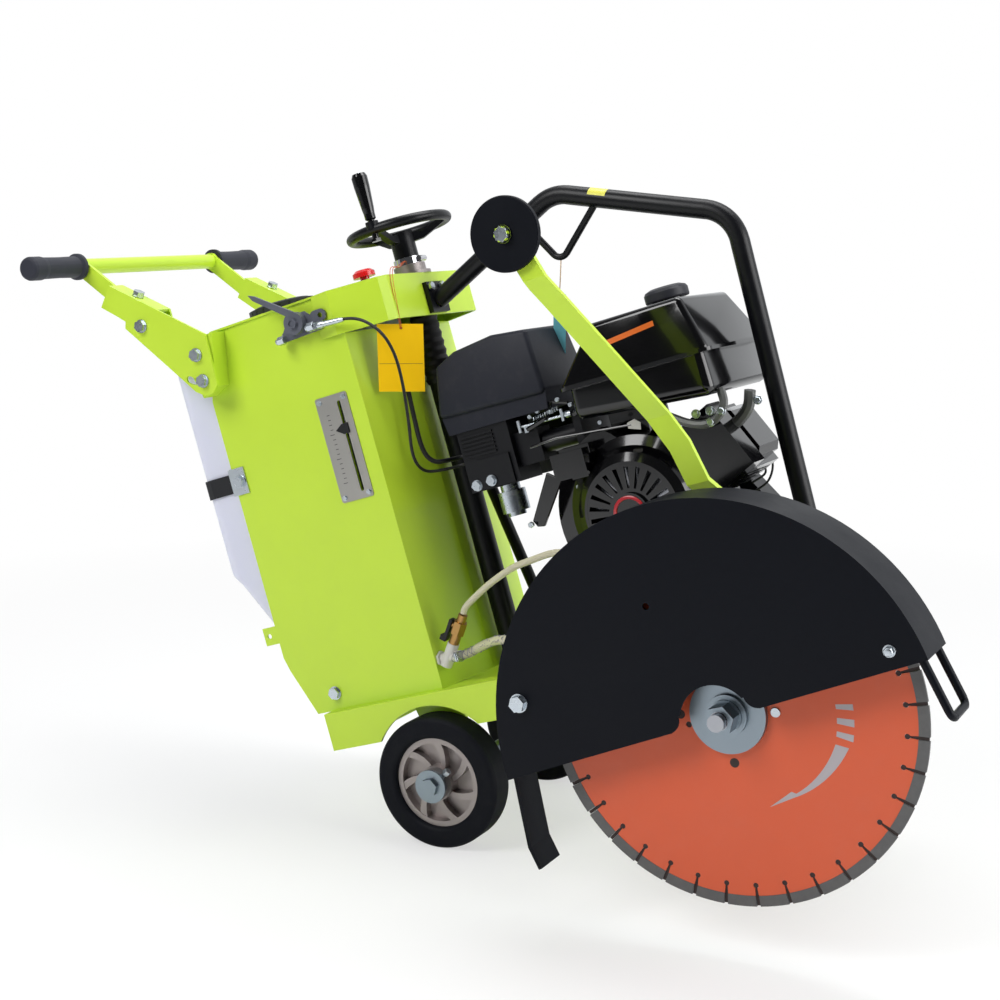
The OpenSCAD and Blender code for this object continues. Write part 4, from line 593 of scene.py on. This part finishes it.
near = smooth_path([collar, (collar + over) / 2 + UP * 0.001, over, eye_front - ACROSS * STRING_GAP], 6)
far = smooth_path([eye_front + ACROSS * STRING_GAP, over + ACROSS * STRANDS_APART,
                   (collar + over) / 2 + ACROSS * 0.003, collar + ACROSS * 0.0015], 6)
loop = near + [eye_at + TOWARD * 0.0022 - UP * 0.0012] + far
tag_string = Shape().sweep(loop, STRING_R, 6).build("tag_string", "string_red", "chassis", "red_plastic")
loop_l = length_of(loop)
tuple(loop[0])
[tuple(p) for p in loop]

# strip on a tan cord under the lifting eye, in the frame's middle plane
STRIP_W, STRIP_H, STRIP_T = 0.0185, 0.100, 0.0004
STRIP_DROP, STRIP_TOP = 0.052, 0.002
CORD_R, CORD_STAND = 0.0009, 0.0012
sight = ray(*POINTS["strip_cord"])
beside = CAM_AT + sight * ((joint_at("lift_arm_swing").y - CAM_AT.y) / sight.y)
rod_at = node_tree("lifting_frame").ray_cast(beside, SKY)[0]
top_at = rod_at - SKY * STRIP_DROP - ACROSS * 0.002
Shape().plate(top_at, ACROSS, SKY, oblong(-STRIP_W / 2, STRIP_W / 2, -STRIP_H, STRIP_TOP), STRIP_T).build(
    "hang_strip", "strip", "chassis", "white_plastic")
knot_at = top_at + TOWARD * CORD_STAND
tie = smooth_path([rod_at, rod_at * 0.5 + top_at * 0.5 + TOWARD * 0.0008, knot_at + SKY * 0.006, knot_at], 6)
cord = Shape().sweep(tie, CORD_R, 8).build("strip_cord", "string_tan", "chassis", "white_plastic")
tie_l = length_of(tie)
tuple(tie[0])
[tuple(p) for p in tie]

# plain orange stripe on the fuel tank
STRIPE_W, STRIPE_H, STRIPE_T = 0.074, 0.0075, 0.0005
STRIPE_SINK, STRIPE_LEAN = 0.0002, 6
hit, normal = place("tank_stripe", "fuel_tank")
u = radial(1, STRIPE_LEAN)
u = (u - normal * u.dot(normal)).normalized()
v = normal.cross(u).normalized()
if v.z < 0:
    v = -v
outward = STRIPE_T if u.cross(v).dot(normal) > 0 else -STRIPE_T
stripe = oblong(-STRIPE_W / 2, STRIPE_W / 2, -STRIPE_H / 2, STRIPE_H / 2)
Shape().plate(hit - normal * STRIPE_SINK, u, v, stripe, outward).build(
    "tank_stripe", "orange_film", "chassis", "red_plastic")

# printed bars and arrow on the blade's outer face, by radius and angle about the arbor
HALF_CORE = 0.0015                                   # from the blade's middle plane to its face
BAR_IN, BAR_OUT = 0.137, 0.1585
ARROW_STEPS, TAIL_AT = 10, -26
TIP, TIP_END = (0.1215, -64.5), (0.1262, -81.2)
BLADE_C = joint_at("blade_spin")
blade_face = BLADE_C + RIGHT * HALF_CORE


def arrow_edge(r, drawn_in, angle):
    """One edge of the arrow from its tail towards its tip, drawn in as it goes round."""
    ways = [k / ARROW_STEPS for k in range(ARROW_STEPS + 1)]
    return [polar(r - drawn_in * t, TAIL_AT - angle * t) for t in ways]


mark = Shape()
for a0, a1 in ((-5, -8.4), (-12, -16), (-19, -22.8)):
    bar = [polar(BAR_IN, a0), polar(BAR_IN, a1 + 1), polar(BAR_OUT, a1), polar(BAR_OUT, a0 - 0.6)]
    mark.plate(blade_face, AHEAD, UP, bar, PRINT_T)
outer, inner = arrow_edge(0.1545, 0.0255, 40), arrow_edge(0.1375, 0.0105, 37)
for k in range(ARROW_STEPS):
    mark.plate(blade_face, AHEAD, UP, [outer[k], inner[k], inner[k + 1], outer[k + 1]], PRINT_T)
mark.plate(blade_face, AHEAD, UP, [inner[-1], polar(*TIP), polar(*TIP_END), outer[-1]], PRINT_T)
mark.build("blade_marks", "grey_ink", "blade_spindle", "segment_grit")

# drive pin, and dark plates that stand for the shade in the blade's empty holes and slots
PIN_AT = (0.0602, -8.5)                              # radius and angle about the arbor
EMPTY_HOLES, SMALL_HOLES = ((0.0637, -100), (0.066, 171.3)), ((0.058, 5), (0.058, 185))
PIN_R, PIN_H, HOLE_R = 0.0062, 0.0022, 0.0039
SHADE_T, SHADE_EDGE = 0.0004, 0.0001
SLOTS, SLOT_AT, SLOT_L, SLOT_END, KEY_HOLE_R = 36, 3.0, 0.0274, 0.001, 0.0034
SEG_H, HALF_IN, HALF_OUT = 0.014, 0.00115, 0.0022
pin = disc(Shape(), blade_face + radial(*PIN_AT), RIGHT, PIN_R, PIN_H, 24)
pin.build("drive_pin", "zinc_plate", "blade_spindle", "zinc_plate")
seg_lo, seg_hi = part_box("blade_segments")
blade_r = (seg_hi.z - seg_lo.z) / 2
key_r, rim_r, end_r = blade_r - SLOT_L, blade_r - SEG_H, blade_r - SLOT_END
gap = [(key_r, -HALF_IN), (rim_r, -HALF_OUT), (end_r, -HALF_OUT), (end_r, HALF_OUT), (rim_r, HALF_OUT),
       (key_r, HALF_IN)]
shade = Shape()
for hole in EMPTY_HOLES:
    disc(shade, blade_face + radial(*hole), RIGHT, PIN_R, PRINT_T, 24, PRINT_T / 2)
for hole in SMALL_HOLES:
    disc(shade, BLADE_C + radial(*hole), RIGHT, HOLE_R, SHADE_T, 20, SHADE_EDGE)
for k in range(SLOTS):
    out = radial(1, SLOT_AT + k * 360 / SLOTS)
    shade.plate(BLADE_C, out, out.cross(RIGHT), gap, SHADE_T)
    disc(shade, BLADE_C + out * key_r, RIGHT, KEY_HOLE_R, SHADE_T + SHADE_EDGE, 16, SHADE_EDGE)
shade.build("blade_shade", "slot_shade", "blade_spindle", "segment_grit")

# throttle: ferrule on the cable and the clamp's nuts
ferrule_at, ferrule_end = at(1, -179, 702), at(47, -177, 699)
ferrule = Shape().lathe(ferrule_at, ferrule_end - ferrule_at, [
    (0.0052, 0), (0.0055, 0.001), (0.0055, 0.010), (0.0044, 0.012), (0.0042, 0.038), (0.0036, 0.043),
    (0.003, 0.046)], 24)
ferrule.build("throttle_ferrule", "zinc_plate", "chassis", "zinc_plate")
CLAMP_FLATS, CLAMP_H, STEM_R, STEM_H = 0.012, 0.011, 0.0044, 0.004
clamp = Shape()
for nut_c in (at(-71, -181, 697), at(-14, -181, 703)):
    hexagon(clamp, nut_c, AHEAD, CLAMP_FLATS, CLAMP_H)
    disc(clamp, nut_c - AHEAD * STEM_H, AHEAD, STEM_R, STEM_H)
clamp.build("throttle_nuts", "zinc_plate", "chassis", "zinc_plate")

# zinc end of the knob's spindle in its top
SPINDLE_R, SPINDLE_H, SPINDLE_SINK = 0.0048, 0.0007, 0.0004
knob_top = node_tree("crank_knob").ray_cast(joint_at("crank_knob_spin") + UP * 0.5, -UP)[0]
spindle = disc(Shape(), knob_top - UP * SPINDLE_SINK, UP, SPINDLE_R, SPINDLE_H, 24)
spindle.build("knob_spindle", "zinc_plate", "crank_knob", "zinc_plate")

# set screw of the hub's collar
COLLAR_IN, COLLAR_R, SCREW_R, SCREW_L = 0.0175, 0.015, 0.0042, 0.016
SCREW_HEAD_AT, SCREW_FLATS, SCREW_HEAD_H = 0.0285, 0.0105, 0.0072
shaft_c = joint_at("rear_wheel_right_spin")
out = place("hub_screw", "rear_rim_right")[0] - shaft_c
out.y = 0
out.normalize()
base = Vector((shaft_c.x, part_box("axle_shafts")[0].y + COLLAR_IN, shaft_c.z))
screw = Shape().lathe(base + out * COLLAR_R, out, [(SCREW_R, 0), (SCREW_R, SCREW_L)], 16)
hexagon(screw, base + out * SCREW_HEAD_AT, out, SCREW_FLATS, SCREW_HEAD_H)
screw.build("hub_screw", "zinc_plate", "chassis", "zinc_plate")

# braid and end clamps of the water hose, along the route that part.scad gives it
SPRAY = [(64.6, -159.7, 174), (80.4, -162.5, 174), (112, -168, 180), (150, -198, 188), (192, -232, 193),
         (225, -247, 186), (256, -250, 160)]
HOSE_R, BRAID_PITCH, BRAID_R = 0.0071, 0.020, 0.0005
CLIP_IN, CLIP_R, CLIP_W, CLIP_EDGE = 0.0070, 0.0083, 0.007, 0.0002


def thread_round(line, r, pitch, way, phase):
    """Helix of radius r wound about a line, one way or the other."""
    travelled, thread = 0.0, []
    for i, (p, side, up) in enumerate(with_sides(line)):
        if i:
            travelled += (p - line[i - 1]).length
        a = way * 2 * math.pi * travelled / pitch + math.radians(phase)
        thread.append(p + (side * math.cos(a) + up * math.sin(a)) * r)
    return thread


hose = route(SPRAY, 10)
braid = Shape()
for way in (-1, 1):
    for phase in (0, 180):
        braid.sweep(thread_round(hose, HOSE_R, BRAID_PITCH, way, phase), BRAID_R, 5)
braid.build("hose_braid", "braid", "chassis", "white_plastic")
clip = [(CLIP_IN, 0), (CLIP_R, CLIP_EDGE), (CLIP_R, CLIP_W - CLIP_EDGE), (CLIP_IN, CLIP_W)]
CLIP_SCREW_R, CLIP_SCREW_HALF, CLIP_SCREW_OUT = 0.0028, 0.006, Vector((0, -0.0105, 0.001))
clip_screw = [(0.0, -CLIP_SCREW_HALF), (CLIP_SCREW_R, -CLIP_SCREW_HALF), (CLIP_SCREW_R, CLIP_SCREW_HALF),
              (0.0, CLIP_SCREW_HALF)]
clips = Shape()
for k in (6, len(hose) - 8):
    t = (hose[k + 1] - hose[k]).normalized()
    clips.lathe(hose[k], t, clip, 28)
    clips.lathe(hose[k] + t * CLIP_W / 2 + CLIP_SCREW_OUT, UP, clip_screw, 14)
clips.build("hose_clips", "zinc_plate", "chassis", "zinc_plate")

# tank bracket over the cylinder, with its bolts
ARM_R, LOWER_ARM_R = 0.0062, 0.0085
arms = Shape()
arms.sweep(route([(480, -116, 434), (506, -117, 418), (530, -118, 411), (550, -118, 417), (562, -116, 432),
                  (560, -108, 452)], 6), ARM_R, 8)
arms.sweep(route([(584, -62, 440), (574, -60, 418), (552, -58, 402), (530, -56, 398)], 6), LOWER_ARM_R, 8)
arms.build("tank_arms", "bracket_grey", "chassis", "cast_alloy")
STUD_AXIS = (0.25, -1, 0.1)
HEAD_FLATS, HEAD_H, HEAD_LEAN = 0.0088, 0.006, 15
HEAD_WASHER_R, HEAD_WASHER_T, HEAD_SINK = 0.0064, 0.0016, 0.001
SMALL_FLATS, SMALL_H = 0.0078, 0.0055
studs = Shape()
for p in ((542, -122, 427), (557, -121, 423), (538, -121, 412), (592, -66, 424), (519, -118, 428)):
    hexagon(studs, at(*p), STUD_AXIS, HEAD_FLATS, HEAD_H, HEAD_LEAN)
    disc(studs, at(*p) + LEFT * HEAD_SINK, STUD_AXIS, HEAD_WASHER_R, HEAD_WASHER_T)
for p in ((314.8, -108, 370.6), (240, -140, 336), (486, -100, 374)):
    hexagon(studs, at(*p), RIGHT, SMALL_FLATS, SMALL_H)
studs.build("engine_studs", "zinc_plate", "chassis", "zinc_plate")

# throttle linkage over the carburettor: levers, a spring and small screws
SPRING_TURNS, SPRING_STEPS, SPRING_R, SPRING_WIRE = 11, 10, 0.0032, 0.0005
levers = Shape()
for a, b, r in (((252, -98, 470), (290, -98, 480), 0.004), ((286, -99, 476), (300, -99, 500), 0.0035),
                ((300, -97, 500), (326, -97, 492), 0.003), ((330, -98, 474), (352, -98, 480), 0.005)):
    levers.sweep([at(*a), at(*b)], r, 6)
levers.build("linkage_levers", "black_gloss", "chassis", "black_gloss")
spring = []
for k in range(SPRING_TURNS * SPRING_STEPS + 1):
    f = k / (SPRING_TURNS * SPRING_STEPS)
    a = 2 * math.pi * SPRING_TURNS * f
    spring.append(at(266 + 44 * f, -101, 482 + 6 * f) + (UP * math.cos(a) + LEFT * math.sin(a)) * SPRING_R)
Shape().sweep(spring, SPRING_WIRE, 5).build("governor_spring", "zinc_plate", "chassis", "zinc_plate")
LINK_SCREW_R, LINK_SCREW_H = 0.0034, 0.003
dots = Shape()
for x, z in ((262, 487), (276, 492), (296, 486), (312, 500), (330, 488), (345, 476), (368, 452)):
    disc(dots, at(x, -99, z), RIGHT, LINK_SCREW_R, LINK_SCREW_H, 14)
dots.build("linkage_screws", "zinc_plate", "chassis", "zinc_plate")

# tapered end of the short governor rod, and the stay below the switch box
taper = [(0.0022, 0), (0.0055, 0.008), (0.0045, 0.015), (0.0, 0.018)]
rod_end = Shape().lathe(at(312, -98, 476), AHEAD, taper, 16)
rod_end.build("rod_end", "zinc_plate", "chassis", "zinc_plate")
stay_from = at(290, -136, 392)
stay_run = (at(248, -136, 334) - stay_from).normalized()
stay = [(-0.004, -0.013), (0.071, -0.010), (0.076, 0), (0.071, 0.010), (-0.004, 0.013)]
STAY_T, STAY_EDGE = 0.006, 0.0012
Shape().plate(stay_from, stay_run, stay_run.cross(RIGHT).normalized(), stay, STAY_T).build(
    "switch_stay", "black_gloss", "chassis", "black_gloss", bevel=STAY_EDGE)

# lip of the blower housing behind the recoil starter, drawn in at its two ends
LIP_IN, LIP_OUT, LIP_T, LIP_Y = 0.100, 0.130, 0.03, -106
LIP_FROM, LIP_TO, LIP_STEPS = 92, 214, 20
LIP_SWELL, LIP_LEAST = 3.2, 1e-5                     # how fast it widens, and its least width


def lip_corners(k):
    """Inner and outer corner of the lip after k steps."""
    a = LIP_FROM + (LIP_TO - LIP_FROM) * k / LIP_STEPS
    swell = min(1, LIP_SWELL * math.sin(math.pi * k / LIP_STEPS))
    return polar(LIP_IN, a), polar(LIP_IN + (LIP_OUT - LIP_IN) * swell + LIP_LEAST, a)


lip_c = joint_at("engine_turn")
lip_c.y = at(0, LIP_Y, 0).y
lip = Shape()
for k in range(LIP_STEPS):
    (in_a, out_a), (in_b, out_b) = lip_corners(k), lip_corners(k + 1)
    lip.plate(lip_c, AHEAD, UP, [in_a, in_b, out_b, out_a], -LIP_T)
lip.build("blower_lip", "black_gloss", "chassis", "black_gloss")

# the governor's long rod and its pale end
ROD_R, FAN_T = 0.0019, 0.0015
rod = Shape().sweep([at(256, -112, 444), at(300, -113, 447), at(420, -112, 437)], ROD_R, 8)
rod.build("governor_rod", "black_gloss", "chassis", "black_gloss")
fan_run = (at(424, 0, 436) - at(414, 0, 437)).normalized()
fan = [(0, -0.004), (0.018, -0.008), (0.020, 0.002), (0.012, 0.008), (0, 0.004)]
Shape().plate(at(414, -112, 437), fan_run, UP, fan, FAN_T).build(
    "governor_end", "white_plastic", "chassis", "white_plastic")

# wires by the belt guard
WIRE_R = 0.0018
wires = Shape()
for points in (((496, 92, 372), (520, 98, 358), (530, 102, 330), (518, 100, 304), (494, 92, 292)),
               ((496, 92, 352), (512, 98, 338), (516, 100, 316), (494, 92, 306))):
    wires.sweep(route(points, 8), WIRE_R, 6)
wires.build("engine_wires", "black_plastic", "chassis", "black_plastic")

# ---------- floor, light, world ----------
FLOOR, FLOOR_WHITE = 14, 0.86
floor = bpy.data.meshes.new("floor")
floor_corners = [(x * FLOOR, y * FLOOR, 0) for x, y in ((-1, -1), (1, -1), (1, 1), (-1, 1))]
floor.from_pydata(floor_corners, [], [(0, 1, 2, 3)])
floor_obj = bpy.data.objects.new("floor", floor)
bpy.context.scene.collection.objects.link(floor_obj)

# the camera sees the floor fade to plain white away from the saw
paper = Nodes("floor_white")
paper.put(paper.bsdf, "Base Color", (FLOOR_WHITE, FLOOR_WHITE, FLOOR_WHITE, 1))
paper.put(paper.bsdf, "Roughness", 0.9)
from_camera = paper.add("LightPath").outputs["Is Camera Ray"]
white = paper.add("Emission", Color=(1, 1, 1, 1), Strength=1.0)
floor_at = paper.add("TexCoord").outputs["Object"]
away = paper.add("VectorMath", {"operation": "LENGTH"}, **{"0": floor_at}).outputs["Value"]
faded = paper.times(paper.remap(away, 0.9, 2.6, 0.55, 1.0), from_camera)
mix = paper.add("MixShader")
for socket, source in enumerate((faded, paper.bsdf.outputs[0], white.outputs[0])):
    paper.tree.links.new(source, mix.inputs[socket])
paper.tree.links.new(mix.outputs[0], paper.tree.nodes["Material Output"].inputs["Surface"])
floor.materials.append(paper.mat)
floor_obj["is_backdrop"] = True


def lamp(name, where, aim, size, size_y, power):
    """White card of light, hidden from the camera."""
    d = bpy.data.lights.new(name, "AREA")
    d.shape, d.size, d.size_y, d.energy = "RECTANGLE", size, size_y, power
    o = bpy.data.objects.new(name, d)
    bpy.context.scene.collection.objects.link(o)
    o.location = where
    o.rotation_euler = (Vector(aim) - Vector(where)).to_track_quat("-Z", "Y").to_euler()
    o.visible_camera = False


lamp("key", (-1.4, -2.8, 3.0), (0, -0.1, 0.4), 2.0, 2.0, power=98)
lamp("side_card", (3.6, 0.2, 1.5), (0.2, 0, 0.5), 2.6, 2.4, power=95)
lamp("ceiling", (0.2, 0.6, 3.4), (0.1, 0, 0.4), 2.6, 1.2, power=56)

# studio light: bright behind the saw, dim in front of it; the camera itself sees white
BACK_WALL, FRONT_WALL, WALLS_FROM, WALLS_TO = 1.05, 0.08, -0.25, 0.55
world = bpy.data.worlds.new("studio")
bpy.context.scene.world = world
world.use_nodes = True
nodes, links = world.node_tree.nodes, world.node_tree.links
studio = nodes["Background"]
studio.inputs["Color"].default_value = (0.84, 0.86, 0.88, 1)
direction = nodes.new("ShaderNodeTexCoord")
parts = nodes.new("ShaderNodeSeparateXYZ")
ramp = nodes.new("ShaderNodeMapRange")
for socket, value in enumerate((WALLS_FROM, WALLS_TO, FRONT_WALL, BACK_WALL), 1):
    ramp.inputs[socket].default_value = value
links.new(direction.outputs["Generated"], parts.inputs[0])
links.new(parts.outputs["Y"], ramp.inputs[0])
links.new(ramp.outputs[0], studio.inputs["Strength"])
plain = nodes.new("ShaderNodeBackground")
plain.inputs["Color"].default_value = (1, 1, 1, 1)
light_path = nodes.new("ShaderNodeLightPath")
choice = nodes.new("ShaderNodeMixShader")
for socket, source in enumerate((light_path.outputs["Is Camera Ray"], studio.outputs[0], plain.outputs[0])):
    links.new(source, choice.inputs[socket])
links.new(choice.outputs[0], nodes["World Output"].inputs["Surface"])
bpy.context.scene.view_settings.view_transform = "Standard"

# ---------- how far each thing shows from its point ----------
bpy.context.view_layer.update()
dg = bpy.context.evaluated_depsgraph_get()
SEEN_GAP = 0.004        # a vertex at most this far behind what the ray meets counts as seen


def seen_points(obj):
    """Image places of an object's finished vertices that the camera sees."""
    e = obj.evaluated_get(dg)
    me = e.to_mesh()
    out = []
    for v in me.vertices:
        p = e.matrix_world @ v.co
        d = p - CAM_AT
        ok, first, _, _, _, _ = bpy.context.scene.ray_cast(dg, CAM_AT, d.normalized())
        if not ok or (first - CAM_AT).length > d.length - SEEN_GAP:
            out.append(project(p))
    e.to_mesh_clear()
    return out


def middle(pts):
    """Middle of the box round some image points."""
    xs, ys = [p[0] for p in pts], [p[1] for p in pts]
    return (min(xs) + max(xs)) / 2, (min(ys) + max(ys)) / 2


def write_points():
    """Works out how many pixels each thing lies from its image point."""
    offsets, rim = {}, []
    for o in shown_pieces():
        e = o.evaluated_get(dg)
        if e.type != "MESH":
            continue
        me = e.to_mesh()
        rim += [project(e.matrix_world @ v.co) for v in me.vertices]
        e.to_mesh_clear()
    edges = {"object_left": (min(p[0] for p in rim), None), "object_right": (max(p[0] for p in rim), None),
             "object_top": (None, min(p[1] for p in rim)), "object_bottom": (None, max(p[1] for p in rim))}
    for name, want in POINTS.items():
        got = edges.get(name)
        if got is None:
            o = frame["nodes"].get(name) or bpy.data.objects.get(name)
            pts = seen_points(o) if o else []
            got = middle(pts) if pts else None
        if got is None:
            offsets[name] = None
            continue
        offsets[name] = [None if a is None else round(g - a, 2) for a, g in zip(want, got)]


write_points()
